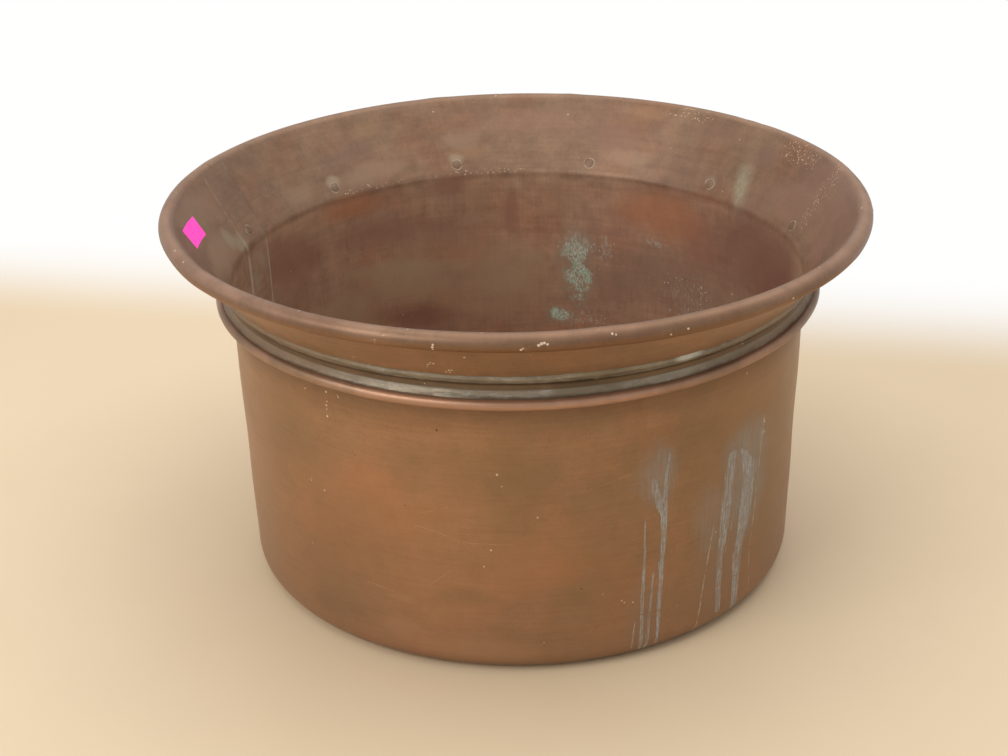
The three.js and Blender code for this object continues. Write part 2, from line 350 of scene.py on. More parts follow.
# Hand work leaves the pan a little out of round. All the pieces that lie on each other share it.
hand = np.random.default_rng(11)
WAVES = 26
WAVE_DEPTH = 0.0008
WAVE_FOOT, WAVE_FADE = 0.02, 0.1  # the height below which there are none, and over which they set in
wave_turns = hand.integers(2, 27, WAVES)
wave_rise = hand.uniform(-45, 45, WAVES)  # radians per metre of height
wave_start = hand.uniform(0, 2 * math.pi, WAVES)
MOUTH_RISE = 0.09  # from the neck up to the mouth
MOUTH_SHIFT = -0.0008  # the mouth has sprung to the left
MOUTH_TILT = 0.0004  # and it rises to the front left
TILT_AZIMUTH = math.radians(230)


def faded(value, start, length):
    """(value - start) / length, held between 0 and 1."""
    return np.clip((value - start) / length, 0, 1)


def waver(angle, height):
    """How far the sheet stands out from a true round: the sum of depth / turns times cos(turns * angle
    + rise * height + start), which is nothing at the floor and fades in above it."""
    total = 0
    for turns, rise, start in zip(wave_turns, wave_rise, wave_start):
        total = total + WAVE_DEPTH / turns * np.cos(turns * angle + rise * height + start)
    return total * faded(height, WAVE_FOOT, WAVE_FADE)


def on_pan(radius, angle, height):
    """A place in x, y and z: (r cos a, r sin a, z), with the waver in its radius. Above the neck it
    moves sideways with the mouth, and up by the mouth's tilt times cos(a - tilt's azimuth)."""
    over = np.clip((height - NECK_HEIGHT) / MOUTH_RISE, 0, 1.1)
    radius = radius + waver(angle, height)
    x = radius * np.cos(angle) + MOUTH_SHIFT * over
    z = height + MOUTH_TILT * over * np.cos(angle - TILT_AZIMUTH)
    return np.stack(np.broadcast_arrays(x, radius * np.sin(angle), z), -1)


def turned(outline, angle):
    """A section carried round the axis."""
    return on_pan(outline.real, angle, outline.imag)


def once_round(steps=AROUND):
    """Angles once round the axis, as a column."""
    return (2 * math.pi * np.arange(steps) / steps)[:, None]


SHARP = math.radians(50)  # edges that turn more than this stay sharp


def surface(name, points, wrap=(True, True), finish=None, **fields):
    """A closed mesh over a grid of points: each cell is a face, points that touch are merged, and an end
    that doesn't wrap round is filled flat. finish numbers the material of each column of faces, and a
    field is a number at each point."""
    rows, columns = points.shape[:2]
    index = np.arange(rows * columns).reshape(rows, columns)
    index = np.vstack([index, index[:1]]) if wrap[0] else index
    index = np.hstack([index, index[:, :1]]) if wrap[1] else index
    faces = np.stack([index[:-1, :-1], index[1:, :-1], index[1:, 1:], index[:-1, 1:]], -1)
    mesh = bpy.data.meshes.new(name)
    mesh.vertices.add(rows * columns)
    mesh.vertices.foreach_set("co", points.astype(np.float32).ravel())
    mesh.loops.add(faces.size)
    mesh.loops.foreach_set("vertex_index", faces.astype(np.int32).ravel())
    mesh.polygons.add(faces.size // 4)
    mesh.polygons.foreach_set("loop_start", np.arange(0, faces.size, 4, dtype=np.int32))
    if finish is not None:
        numbers = np.broadcast_to(finish[: faces.shape[1]], faces.shape[:2])
        mesh.polygons.foreach_set("material_index", numbers.astype(np.int32).ravel())
    for label, values in fields.items():
        numbers = np.broadcast_to(values, (rows, columns)).astype(np.float32)
        mesh.attributes.new(label, "FLOAT", "POINT").data.foreach_set("value", numbers.ravel())
    mesh.update(calc_edges=True)
    shape = bmesh.new()
    shape.from_mesh(mesh)
    bmesh.ops.remove_doubles(shape, verts=shape.verts, dist=TOUCHING)
    bmesh.ops.holes_fill(shape, edges=[e for e in shape.edges if e.is_boundary], sides=0)
    bmesh.ops.recalc_face_normals(shape, faces=shape.faces)
    shape.to_mesh(mesh)
    shape.free()
    mesh.polygons.foreach_set("use_smooth", np.ones(len(mesh.polygons), bool))
    mesh.set_sharp_from_angle(angle=SHARP)
    return mesh


def piece(mesh, *materials):
    """An object for a mesh, with its materials in order."""
    made = bpy.data.objects.new(mesh.name, mesh)
    bpy.context.scene.collection.objects.link(made)
    for material in materials:
        mesh.materials.append(material)
    return made


def facing_parts(vector, azimuth):
    """A place turned about the axis until an azimuth faces X: how far out, how far round and how high."""
    back = times(azimuth, -math.pi / 180)
    return split(add("VectorRotate", {"Vector": vector, "Angle": back}, rotation_type="Z_AXIS"))


def stain_mask(vector, torn, azimuth, height, half_width, half_height, tilt, ragged):
    """A soft, ragged stain on the wall. Its reach is the length of (round / half width, up / half
    height) plus torn noise, with the stain's axes tilted. The mask goes from 1 at 0.3 to 0 at 1."""
    parts = facing_parts(vector, azimuth)
    rise = worked("SUBTRACT", parts[2], height)
    place = add("CombineXYZ", {0: parts[1], 1: rise})
    back = times(tilt, -math.pi / 180)
    level = add("VectorRotate", {"Vector": place, "Angle": back}, rotation_type="Z_AXIS")
    share = vector_worked("DIVIDE", level, add("CombineXYZ", {0: half_width, 1: half_height, 2: 1.0}))
    flat = stretched(vector_worked("ADD", share, scaled(torn, ragged)), (1, 1, 0))
    reach = vector_worked("LENGTH", flat, output=1)
    ahead = ramp(parts[0], 0, 0.01)
    return [times(ramp(reach, 1, 0.3), ahead)]


def stroke_reach(vector, torn, azimuth, height, width, far_azimuth, far_height, far_width, wander):
    """A stroke on the wall, unrolled: a place is (azimuth * radius, height). The nearest place on the
    stroke is its start plus a share of it: the dot product with the stroke over its length squared. The
    reach is the distance to it over half the width there: 0 in the middle and 1 at the edge."""
    parts = facing_parts(vector, azimuth)
    flat_radius = (NECK_RADIUS + BASE_RADIUS) / 2
    across = times(worked("ARCTAN2", parts[1], parts[0]), flat_radius)
    rise = worked("SUBTRACT", parts[2], height)
    torn_aside = scaled(torn, wander)
    place = vector_worked("ADD", add("CombineXYZ", {0: across, 1: rise}), torn_aside)
    place = stretched(place, (1, 1, 0))
    far_across = times(worked("SUBTRACT", far_azimuth, azimuth), flat_radius * math.pi / 180)
    stroke = add("CombineXYZ", {0: far_across, 1: worked("SUBTRACT", far_height, height)})
    along = vector_worked("DOT_PRODUCT", place, stroke, output=1)
    whole = vector_worked("DOT_PRODUCT", stroke, stroke, output=1)
    share = add("Math", {0: along, 1: whole}, operation="DIVIDE", use_clamp=True)
    gap = vector_worked("DISTANCE", place, scaled(stroke, share), output=1)
    half = times(between(share, width, far_width), 0.5)
    return [worked("DIVIDE", gap, half)]


def crust_mask(vector, mask, grain, level):
    """Crusty specks inside a mask: noise that has to rise above a level, which the mask lowers."""
    crust = noise(vector, grain, 7, 0.7)
    level = worked("ADD", level, spread(mask, -0.4, 0.4))
    return [ramp(worked("SUBTRACT", crust, level), 0, 0.13)]


def fleck_mask(vector, torn, per_metre, size, share):
    """Scattered flecks: points of a cell pattern, of which only a share are kept, torn out of round."""
    bent = vector_worked("ADD", vector, scaled(torn, 0.006))
    cell = add("TexVoronoi", {"Vector": bent, "Scale": per_metre}).node.outputs
    chance = split(cell["Color"])
    kept = worked("LESS_THAN", chance[0], share)
    size = times(size, spread(chance[1], 1.2, 0.4))
    near = ramp(cell["Distance"], size, times(size, 0.4))
    return [times(near, kept)]


def scratch_mask(vector, turn, wideness, share):
    """Fine scratches: thin contour lines of a drawn-out noise, broken by a coarser one."""
    aslant = add("VectorRotate", {"Vector": vector, "Axis": (1.0, 0.3, 0.1), "Angle": turn})
    drawn = noise(stretched(aslant, (1, 1, 9)), 7, 1, 0.3)
    line = ramp(worked("ABSOLUTE", worked("SUBTRACT", drawn, 0.5)), wideness, 0)
    broken = noise(aslant, 19, 3)
    gaps = ramp(broken, share, worked("ADD", share, 0.06))
    return [times(line, gaps)]


MASK = {"Mask": "Float"}
STAIN = effect(
    "Stain",
    {"Vector": None, "Torn": None, "Azimuth": 0.0, "Height": 0.2, "Half width": 0.05,
     "Half height": 0.05, "Tilt": 0.0, "Ragged": 1.0},
    MASK, stain_mask,
)
STROKE = effect(
    "Stroke",
    {"Vector": None, "Torn": None, "Azimuth": 0.0, "Height": 0.2, "Width": 0.002,
     "Far azimuth": 0.0, "Far height": 0.1, "Far width": 0.002, "Wander": 0.004},
    {"Reach": "Float"}, stroke_reach,
)
CRUST = effect("Crust", {"Vector": None, "Mask": 1.0, "Grain": 150.0, "Level": 0.5}, MASK, crust_mask)
FLECKS = effect(
    "Flecks", {"Vector": None, "Torn": None, "Per metre": 120.0, "Size": 0.2, "Share": 0.1}, MASK, fleck_mask
)
SCRATCHES = effect(
    "Scratches", {"Vector": None, "Turn": 0.3, "Wideness": 0.004, "Share": 0.5}, MASK, scratch_mask
)
BROAD_TEAR, TEAR, FINE_TEAR, MARK_TEAR = 9.0, 26.0, 75.0, 420.0  # ragged edges, in bumps per metre
RAGGED = 1.3  # how far they reach, in half widths of a stain
MARK_RAGGED = 0.0016


def stain(finish, azimuth, height, half_width, half_height, tilt=0.0):
    """The mask of a stain, placed in degrees and metres. A small stain has a finer edge."""
    torn = finish.torn(BROAD_TEAR if half_width > 0.045 else TEAR if half_width > 0.012 else FINE_TEAR)
    return placed(STAIN, finish.vector, torn, azimuth, height, half_width, half_height, tilt, RAGGED)


def stained(finish, stains):
    """Lays stains over a finish: for each tone, places with their strength before them."""
    for tone, *places in stains:
        for strength, *place in places:
            finish.cover(stain(finish, *place), strength, tone)


def patches(finish, *places):
    """The greatest of several stains' masks, each place given with its strength before it."""
    return most(*[thinned(stain(finish, *place), strength) for strength, *place in places])


def strokes(finish, lines, wander=0.004):
    """The least reach over a set of lines, each given as (azimuth, height, width) at its bends."""
    least = None
    for line in lines:
        for start, end in zip(line, line[1:]):
            reach = placed(STROKE, finish.vector, finish.torn(FINE_TEAR), *start, *end, wander)
            least = reach if least is None else worked("MINIMUM", least, reach)
    return least


COLLAR_SLOPE = 0.672  # how far the collar's face goes out for each metre up


def wall_radius(height):
    """The radius of the sheet's outer face at a height: the side's line, and above the neck the line to
    the roll's middle."""
    if height < NECK_HEIGHT:
        return BASE_RADIUS + (NECK_RADIUS - BASE_RADIUS) * height / NECK_HEIGHT
    return NECK_RADIUS + (height - NECK_HEIGHT) * COLLAR_SLOPE


def marks(finish, places):
    """The mask of small marks, each given by azimuth, height and half width, and by its radius where it
    isn't on the wall. Its reach is the distance from the mark's middle over its half width."""
    bent = vector_worked("ADD", finish.vector, scaled(finish.torn(MARK_TEAR), MARK_RAGGED))
    least = 9.0
    for azimuth, height, half_width, *radius in places:
        middle = on_pan(*(radius or [wall_radius(height)]), math.radians(azimuth), height)
        gap = vector_worked("DISTANCE", bent, tuple(middle.tolist()), output=1)
        least = worked("MINIMUM", least, worked("DIVIDE", gap, half_width))
    return ramp(least, 1.3, 0.7)


def crust(finish, mask, grain, level, share):
    """The mask of crusty specks."""
    return placed(CRUST, stretched(finish.vector, share), mask, grain, level)


def flecks(finish, per_metre, size, share):
    """The mask of scattered flecks."""
    return placed(FLECKS, finish.vector, finish.torn(FINE_TEAR), per_metre, size, share)


def scratches(finish, turn, wideness, share):
    """The mask of fine scratches."""
    return placed(SCRATCHES, finish.vector, turn, wideness, share)


# Smoke, hands and cleaning have coloured the outside in a few tones, and the two umber bands along the foot
# are painted shadow. After its tone, each stain is given by its strength, its azimuth and height, half its
# width and height, and how far it is tilted.
OLIVE = (134, 108, 78)
UMBER = (116, 92, 69)
COPPERY = (173, 123, 87)
WORN = (178, 138, 104)
ASHEN = (141, 121, 103)
OUTSIDE_STAINS = (
    (OLIVE, (0.45, 325, 0.230, 0.200, 0.330), (0.40, 270, 0.235, 0.060, 0.110),
     (0.40, 229, 0.100, 0.060, 0.070), (0.35, 262, 0.265, 0.130, 0.050),
     (0.35, 285, 0.150, 0.070, 0.150), (0.35, 220, 0.260, 0.070, 0.100)),
    (COPPERY, (0.40, 240, 0.200, 0.180, 0.080, 4), (0.25, 250, 0.110, 0.170, 0.060),
     (0.45, 272, 0.150, 0.080, 0.050)),
    (OLIVE, (0.40, 259, 0.102, 0.050, 0.018)),
    (UMBER, (0.20, 230, 0.048, 0.070, 0.022, -6), (0.30, 300, 0.275, 0.090, 0.050)),
    (WORN, (0.40, 245, 0.048, 0.034, 0.020), (0.50, 262, 0.032, 0.110, 0.022),
     (0.35, 246, 0.088, 0.026, 0.008)),
    (OLIVE, (0.35, 226, 0.045, 0.018, 0.014)),
    # These two umber bands along the foot are painted shadow where the pan meets the floor.
    (UMBER, (0.45, 258, 0.010, 0.240, 0.009), (0.45, 300, 0.008, 0.200, 0.010)),
    (ASHEN, (0.45, 312, 0.080, 0.060, 0.080), (0.45, 294, 0.060, 0.034, 0.056)),
)

# Water has run down the outside and left grey lime. Each run is given by azimuth, height and width.
RUNS = (
    ((298.4, 0.262, 0.0015), (297.9, 0.236, 0.004), (297.6, 0.180, 0.008), (296.9, 0.014, 0.0036)),
    ((295.2, 0.232, 0.006), (296.3, 0.206, 0.011), (297.5, 0.180, 0.004)),
    ((293.5, 0.184, 0.0012), (293.5, 0.090, 0.004), (293.3, 0.012, 0.0052)),
    ((295.7, 0.113, 0.002), (294.4, 0.012, 0.0042)),
    ((291.9, 0.052, 0.0012), (291.4, 0.017, 0.0026)),
    ((314.2, 0.226, 0.016), (313.6, 0.184, 0.018), (312.2, 0.100, 0.010), (312.3, 0.026, 0.007)),
    ((316.9, 0.230, 0.004), (320.4, 0.196, 0.026), (319.7, 0.150, 0.023), (317.7, 0.090, 0.015),
     (317.6, 0.018, 0.012)),
)
# Narrower runs have dried to a pale crust.
CRUST_RUNS = (
    ((324.2, 0.256, 0.004), (323.6, 0.180, 0.0018), (322.0, 0.090, 0.0024), (322.9, 0.022, 0.0014)),
    ((309.8, 0.149, 0.0015), (308.4, 0.089, 0.0028), (306.4, 0.014, 0.0022)),
    ((315.6, 0.150, 0.0014), (313.6, 0.100, 0.0020)),
    ((305.5, 0.011, 0.0030), (317.0, 0.011, 0.0036)),
)
# Chips and dried splashes: azimuth, height, half width, and the radius of those on the roll.
PALE_MARKS = (
    (232.3, 0.332, 0.0012), (232.3, 0.320, 0.0008), (232.1, 0.315, 0.0012), (232.1, 0.310, 0.0009),
    (232.0, 0.301, 0.0014), (226.7, 0.326, 0.0010), (235.2, 0.330, 0.0009), (226.1, 0.208, 0.0010),
    (229.6, 0.202, 0.0012), (265.7, 0.262, 0.0013), (266.5, 0.247, 0.0009), (272.9, 0.207, 0.0011),
    (264.2, 0.166, 0.0012), (262.8, 0.144, 0.0009), (324.6, 0.248, 0.0014), (324.8, 0.234, 0.0014),
    (257.3, 0.440, 0.0012), (257.4, 0.436, 0.0012), (261.6, 0.417, 0.0014), (258.5, 0.394, 0.0013),
    (259.0, 0.3945, 0.0010), (257.9, 0.391, 0.0012), (258.6, 0.391, 0.0010), (255.2, 0.401, 0.0013),
    (255.7, 0.404, 0.0011), (256.2, 0.403, 0.0013), (254.9, 0.397, 0.0009), (273.8, 0.442, 0.0014),
    (274.5, 0.441, 0.0012), (270.2, 0.436, 0.0012), (241.5, 0.395, 0.0010), (244.0, 0.388, 0.0009),
    (291.4, 0.080, 0.0010), (289.6, 0.082, 0.0009),
)
ROLL_MARKS = (
    (203.5, 0.4600, 0.0016, 0.4190), (208.5, 0.4590, 0.0013, 0.4200), (265.0, 0.4608, 0.0013, 0.4140),
    (254.5, 0.4608, 0.0012, 0.4145), (258.4, 0.4493, 0.0012, 0.4249), (258.3, 0.4462, 0.0014, 0.4244),
    (258.3, 0.4433, 0.0011, 0.4229), (270.4, 0.4453, 0.0014, 0.4241), (270.7, 0.4472, 0.0010, 0.4247),
    (272.8, 0.4502, 0.0015, 0.4248), (273.2, 0.4517, 0.0016, 0.4246), (273.6, 0.4523, 0.0014, 0.4245),
    (274.0, 0.4509, 0.0012, 0.4248), (283.0, 0.4557, 0.0012, 0.4227), (283.5, 0.4546, 0.0009, 0.4234),
    (291.5, 0.4463, 0.0010, 0.4244), (294.1, 0.4493, 0.0013, 0.4249), (313.2, 0.4476, 0.0012, 0.4247),
    (350.0, 0.4600, 0.0013, 0.4110), (322.0, 0.4606, 0.0011, 0.4140), (176.0, 0.4606, 0.0012, 0.4140),
)
DARK_MARKS = ((255.1, 0.313, 0.0013), (238.0, 0.262, 0.0007), (281.0, 0.110, 0.0008), (248.0, 0.212, 0.0006))
# Scratches in the outside.
LONG_SCRATCHES = (
    ((248.9, 0.183, 0.0008), (250.4, 0.188, 0.0008), (254.7, 0.183, 0.0007), (258.6, 0.174, 0.0008),
     (268.5, 0.173, 0.0006)),
    ((251.2, 0.206, 0.0006), (256.3, 0.217, 0.0008)),
    ((251.9, 0.111, 0.0006), (256.7, 0.137, 0.0008)),
    ((238.0, 0.098, 0.0006), (244.5, 0.095, 0.0010)),
    ((224.8, 0.205, 0.0006), (226.6, 0.214, 0.0008)),
    ((281.0, 0.235, 0.0006), (291.0, 0.248, 0.0006)),
)

DRIED = {"rough": 0.7, "metallic": 0.1}  # what has dried on the metal hides its gloss
SPECK = {"rough": 0.65, "metallic": 0.2}


def outside_finish(name):
    """The outside of bottom, side and collar: satin brown copper, with lime runs and light wear."""
    finish = Finish(name, metallic=0.72)
    finish.tarnish((158, 120, 88), (148, 115, 86), (165, 120, 89), clouds=3.6, gloss=0.42)
    stained(finish, OUTSIDE_STAINS)
    height = split(finish.vector)[2]
    # Painted shade darkens the wall under the bead, and dust lies on the lowest part.
    shade_under_bead = times(ramp(height, 0.298, 0.345), ramp(height, 0.372, 0.360))
    finish.cover(shade_under_bead, 0.5, (92, 66, 46), rough=0.55)
    finish.cover(ramp(height, 0.170, 0.020), 0.3, (150, 118, 96))
    # Lime dried in a haze where the water came from, and in ragged runs below.
    streaky = finish.noise(330, 5, 0.65, (1, 1, 0.07))
    blots = finish.noise(70, 6, 0.68)
    fine = finish.noise(420, 4, 0.65, (1, 1, 0.35))
    haze = patches(
        finish,
        (0.8, 296.2, 0.240, 0.036, 0.056), (1, 319.5, 0.224, 0.066, 0.054),
        (0.9, 319.5, 0.170, 0.062, 0.090), (0.5, 309.0, 0.160, 0.034, 0.060),
    )
    haze = times(haze, spread(ramp(streaky, 0.36, 0.62), 0.6, 0.4))
    finish.cover(haze, 1, (142, 132, 122), rough=0.55, metallic=0.3)
    ragged = spread(fine, 1.3, -0.65)
    reach = worked("ADD", strokes(finish, RUNS), ragged)
    halo = times(ramp(reach, 2.6, 0.9), ramp(blots, 0.40, 0.62))
    finish.cover(halo, 0.45, (126, 114, 102), rough=0.55, metallic=0.4)
    drips = finish.noise(420, 4, 0.6, (1, 1, 0.10))
    wet = times(ramp(reach, 1.2, 0.5), spread(ramp(drips, 0.36, 0.6), 0.65, 0.25))
    wet = times(wet, spread(ramp(blots, 0.30, 0.55), 0.35, 0.65))
    lime = mixed(ramp(fine, 0.35, 0.65), rgb(138, 134, 130), rgb(166, 167, 166))
    finish.cover(wet, 1, lime, rough=0.6, metallic=0.15, rise=0.4)
    tide = ramp(worked("ABSOLUTE", worked("SUBTRACT", reach, 0.9)), 0.3, 0.05)
    tide = times(tide, ramp(streaky, 0.46, 0.62))
    finish.cover(tide, 0.6, (184, 180, 172), **DRIED)
    pale = ramp(worked("ADD", strokes(finish, CRUST_RUNS), ragged), 1.2, 0.6)
    pale = times(pale, ramp(blots, 0.38, 0.62))
    finish.cover(pale, 0.75, (180, 164, 144), rise=0.4, **DRIED)
    # Scratches, marks and flecks.
    scored = times(ramp(strokes(finish, LONG_SCRATCHES, wander=0.003), 1.4, 0.6), ramp(blots, 0.36, 0.56))
    finish.cover(scored, 0.4, (200, 164, 128))
    for turn, wideness, share in ((0.25, 0.0010, 0.60), (1.35, 0.0009, 0.59), (-0.5, 0.0010, 0.62)):
        finish.cover(scratches(finish, turn, wideness, share), 0.10, (196, 160, 124))
    specks = most(flecks(finish, 90.0, 0.09, 0.03), marks(finish, PALE_MARKS))
    finish.cover(specks, 0.8, (214, 190, 156), **SPECK)
    finish.cover(marks(finish, DARK_MARKS), 0.7, (64, 44, 32), rough=0.6)
    return finish.done()


# The pan's inside has stains of its own: red where it burnt, grey and sandy where water stood.
MAROON = (131, 92, 79)
PLUM = (144, 102, 87)
RUSSET = (176, 118, 82)
TAN = (166, 130, 102)
SANDY = (171, 148, 120)
GREYISH = (148, 122, 103)
INSIDE_STAINS = (
    (MAROON, (0.75, 20, 0.310, 0.180, 0.095), (0.70, 8, 0.270, 0.130, 0.100)),
    (PLUM, (0.45, 120, 0.298, 0.130, 0.030, 4), (0.60, 152, 0.310, 0.090, 0.044, 8),
     (0.55, 91, 0.310, 0.014, 0.060), (0.60, 106, 0.352, 0.040, 0.022), (0.55, 44, 0.300, 0.050, 0.060),
     (0.30, 68, 0.300, 0.070, 0.044)),
    (RUSSET, (0.65, 56, 0.322, 0.096, 0.050), (0.60, 130, 0.348, 0.080, 0.022)),
    (TAN, (0.55, 99, 0.340, 0.034, 0.026), (0.45, 80, 0.330, 0.050, 0.030),
     (0.45, 104, 0.262, 0.080, 0.034)),
    (SANDY, (0.65, 120, 0.244, 0.160, 0.018, 6), (0.60, 136, 0.208, 0.080, 0.040),
     (0.65, 117, 0.220, 0.110, 0.036, 6), (0.55, 92, 0.228, 0.090, 0.055),
     (0.35, 98, 0.190, 0.120, 0.050), (0.40, 129, 0.190, 0.034, 0.030)),
    (MAROON, (0.30, 46, 0.240, 0.170, 0.070)),
    (GREYISH, (0.50, 46, 0.230, 0.170, 0.060), (0.50, 67, 0.212, 0.044, 0.044),
     (0.40, 152, 0.230, 0.060, 0.060)),
    (MAROON, (0.70, 113, 0.164, 0.072, 0.026, 6)),
)
# The collar's are smokier, and verdigris and lime have dried round its rivets and the strap.
SMOKY = (129, 98, 83)
ROSY = (147, 109, 91)
DUSTY = (153, 124, 101)
CHESTNUT = (151, 115, 84)
LICHEN = (153, 141, 117)
LIMY = (164, 148, 124)
PINKISH = (150, 66, 80)
COLLAR_STAINS = (
    (SMOKY, (0.35, 128, 0.412, 0.060, 0.014), (0.50, 69, 0.412, 0.050, 0.024),
     (0.50, 32, 0.428, 0.030, 0.022), (0.30, 162, 0.426, 0.050, 0.030),
     (0.35, 46, 0.440, 0.070, 0.020)),
    (ROSY, (0.50, 18, 0.402, 0.080, 0.028), (0.45, 5, 0.430, 0.160, 0.050),
     (0.35, 86, 0.424, 0.110, 0.024), (0.60, 355, 0.395, 0.054, 0.020)),
    (DUSTY, (0.60, 124, 0.386, 0.070, 0.016), (0.50, 102, 0.410, 0.044, 0.016),
     (0.50, 66, 0.392, 0.044, 0.014), (0.50, 143, 0.387, 0.034, 0.014),
     (0.85, 181, 0.393, 0.080, 0.024), (0.50, 178, 0.430, 0.120, 0.030)),
    (CHESTNUT, (0.45, 121, 0.436, 0.040, 0.014), (0.45, 100, 0.394, 0.045, 0.012),
     (0.45, 62, 0.446, 0.050, 0.012)),
    (LICHEN, (0.60, 34.4, 0.390, 0.022, 0.036, -14), (0.60, 172, 0.390, 0.016, 0.018),
     (0.60, 169, 0.377, 0.022, 0.016)),
    (LIMY, (0.50, 161.4, 0.336, 0.018, 0.012), (0.50, 165.4, 0.322, 0.008, 0.034),
     (0.60, 133.2, 0.387, 0.016, 0.010), (0.50, 103.2, 0.387, 0.014, 0.009),
     (0.35, 43.2, 0.384, 0.014, 0.009)),
    (PINKISH, (0.45, 190.6, 0.4375, 0.007, 0.004, -40), (0.35, 193.4, 0.4310, 0.007, 0.004, -40)),
)
WHITE_MARKS = (
    (60.2, 0.281, 0.0014), (56.3, 0.281, 0.0016), (57.0, 0.279, 0.0010), (111.2, 0.210, 0.0016),
    (69.9, 0.147, 0.0014), (66.8, 0.262, 0.0014), (68.3, 0.270, 0.0012), (63.0, 0.246, 0.0010),
    (9.1, 0.394, 0.0013), (349.0, 0.423, 0.0014), (7.1, 0.317, 0.0010), (9.0, 0.330, 0.0010),
)
VERDIGRIS = {"rough": 0.8, "metallic": 0.0}
SCALE = {"rough": 0.75, "metallic": 0.0}


def inside_finish(name, stains):
    """The inside: duller, redder copper, smoked above the neck, with stains, verdigris and scale."""
    finish = Finish(name, metallic=0.4)
    finish.tarnish((172, 140, 114), (160, 126, 104), (168, 124, 96), clouds=5.0, gloss=0.45,
                   drawn=UPRIGHT_MARKS, mottle=0.75)
    height = split(finish.vector)[2]
    uneven = worked("ADD", height, spread(finish.noise(30, 5), 0.016, -0.008))
    on_collar = ramp(uneven, NECK_HEIGHT - 0.012, NECK_HEIGHT + 0.005)
    finish.darken(on_collar, (0.60, 0.56, 0.515, 1.0))
    level_marks = finish.noise(150, 5, 0.7, (0.06, 0.06, 1))
    finish.darken(1.0, spread(level_marks, 0.5, 0.72))
    finish.metallic = between(on_collar, 0.25, 0.4)
    stained(finish, stains)
    # Verdigris has run down the far side in a green crust with whiter specks. Lime lies on the collar.
    green = patches(
        finish, (1, 76.2, 0.254, 0.036, 0.046), (1, 75.6, 0.214, 0.036, 0.060), (1, 79.8, 0.157, 0.034, 0.022)
    )
    finish.cover(green, 0.5, (142, 132, 114), rough=0.7, metallic=0.15)
    drips = (1, 1, 0.45)
    green_crust = crust(finish, green, 300.0, 0.44, drips)
    finish.cover(green_crust, 0.65, (142, 164, 142), rise=0.7, **VERDIGRIS)
    low_green = times(green, ramp(height, 0.262, 0.236))
    low_crust = crust(finish, low_green, 150.0, 0.45, drips)
    finish.cover(low_crust, 0.6, (140, 174, 148), rise=0.7, **VERDIGRIS)
    white_crust = crust(finish, green, 620.0, 0.46, drips)
    finish.cover(white_crust, 0.7, (200, 206, 192), rise=1.0, **VERDIGRIS)
    smudge = crust(finish, stain(finish, 34.4, 0.390, 0.022, 0.036, -14), 260.0, 0.42, drips)
    finish.cover(smudge, 0.45, (156, 152, 126), **DRIED)
    # Pale scale lies beside it.
    scale = patches(
        finish,
        (1, 75.5, 0.262, 0.050, 0.044), (1, 69.0, 0.256, 0.024, 0.044),
        (1, 73.0, 0.150, 0.060, 0.024), (0.9, 47.0, 0.212, 0.090, 0.056),
        (1, 57.0, 0.281, 0.034, 0.009),
    )
    spots = times(ramp(scale, 0.15, 0.7), flecks(finish, 260.0, 0.24, 0.34))
    finish.cover(spots, 0.8, (192, 196, 188), rise=1.0, **SCALE)
    finish.cover(crust(finish, scale, 260.0, 0.46, drips), 0.4, (172, 174, 164), **SCALE)
    # Golden specks lie in rows near the rim on the right, and along the neck.
    rows = patches(
        finish,
        (1, 24.0, 0.448, 0.050, 0.016), (1, 10.0, 0.440, 0.024, 0.032),
        (1, 10.0, 0.405, 0.016, 0.030), (1, 53.0, 0.452, 0.044, 0.008),
        (1, 124.0, 0.3705, 0.070, 0.0050), (1, 98.0, 0.3695, 0.100, 0.0045),
    )
    gold = times(ramp(rows, 0.05, 0.4), flecks(finish, 400.0, 0.40, 0.45))
    finish.cover(gold, 0.75, (206, 180, 146), rough=0.6, metallic=0.3)
    finish.cover(marks(finish, WHITE_MARKS), 0.85, (206, 200, 186), **DRIED)
    for turn, wideness, share in ((1.2, 0.0012, 0.55), (0.1, 0.0010, 0.57)):
        finish.cover(scratches(finish, turn, wideness, share), 0.35, (178, 150, 122))
    finish.cover(flecks(finish, 80.0, 0.09, 0.06), 0.7, (206, 190, 164), **SPECK)
    return finish


# The line of the side goes up and a little out. Left of it is the inside of the pan.
side_way = complex(NECK_RADIUS - BASE_RADIUS, NECK_HEIGHT)
side_way = side_way / abs(side_way)
side_foot = BASE_RADIUS + 1j * side_way * SHEET / 2
neck = complex(NECK_RADIUS, NECK_HEIGHT) + 1j * side_way * SHEET / 2


def side_at(height):
    """The point of the side's line at a height."""
    return side_foot + side_way * (height - side_foot.imag) / side_way.imag


pan_bend = bend(side_at(SHEET / 2), 1, side_way, BASE_CORNER - SHEET / 2, 0.003)
pan_line = joined(
    straight(1j * SHEET / 2, pan_bend[0], 0.012),
    pan_bend,
    straight(pan_bend[-1], side_at(BASE_SEAM_HEIGHT - BRAZE_WIDTH / 2), 0.008),
)
pan_outline, pan_side, _ = sheet_section(pan_line, SHEET, rounded=(False, False))
pan_angle = once_round(BOTTOM_AROUND)
pan_points = turned(pan_outline, pan_angle)

# The flat is a little uneven, and never below the floor.
KICK = 0.0009
flat_share = np.clip(1 - pan_outline.real / pan_bend[0].real, 0, 1)
flat_waves = 1 + 0.5 * np.cos(3 * pan_angle + 1) * np.sin(40 * pan_outline.real)
pan_points[..., 2] += KICK * flat_share * (2 - flat_share) * flat_waves * (pan_outline.imag < 0.004)

copper_outside = outside_finish("copper_outside")
copper_inside = inside_finish("copper_inside", INSIDE_STAINS + COLLAR_STAINS).done()
bottom_mesh = surface("bottom", pan_points, (True, False), (pan_side > 0).astype(int))
bottom = piece(bottom_mesh, copper_outside, copper_inside)
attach(bottom, "root")
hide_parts("base_pan")


# ---- Brazing of the bottom ------------------------------------------------------------------------
# A thin line of brazing metal fills the joint between bottom and side all round. It is filed flush,
# and has tarnished like the copper beside it.

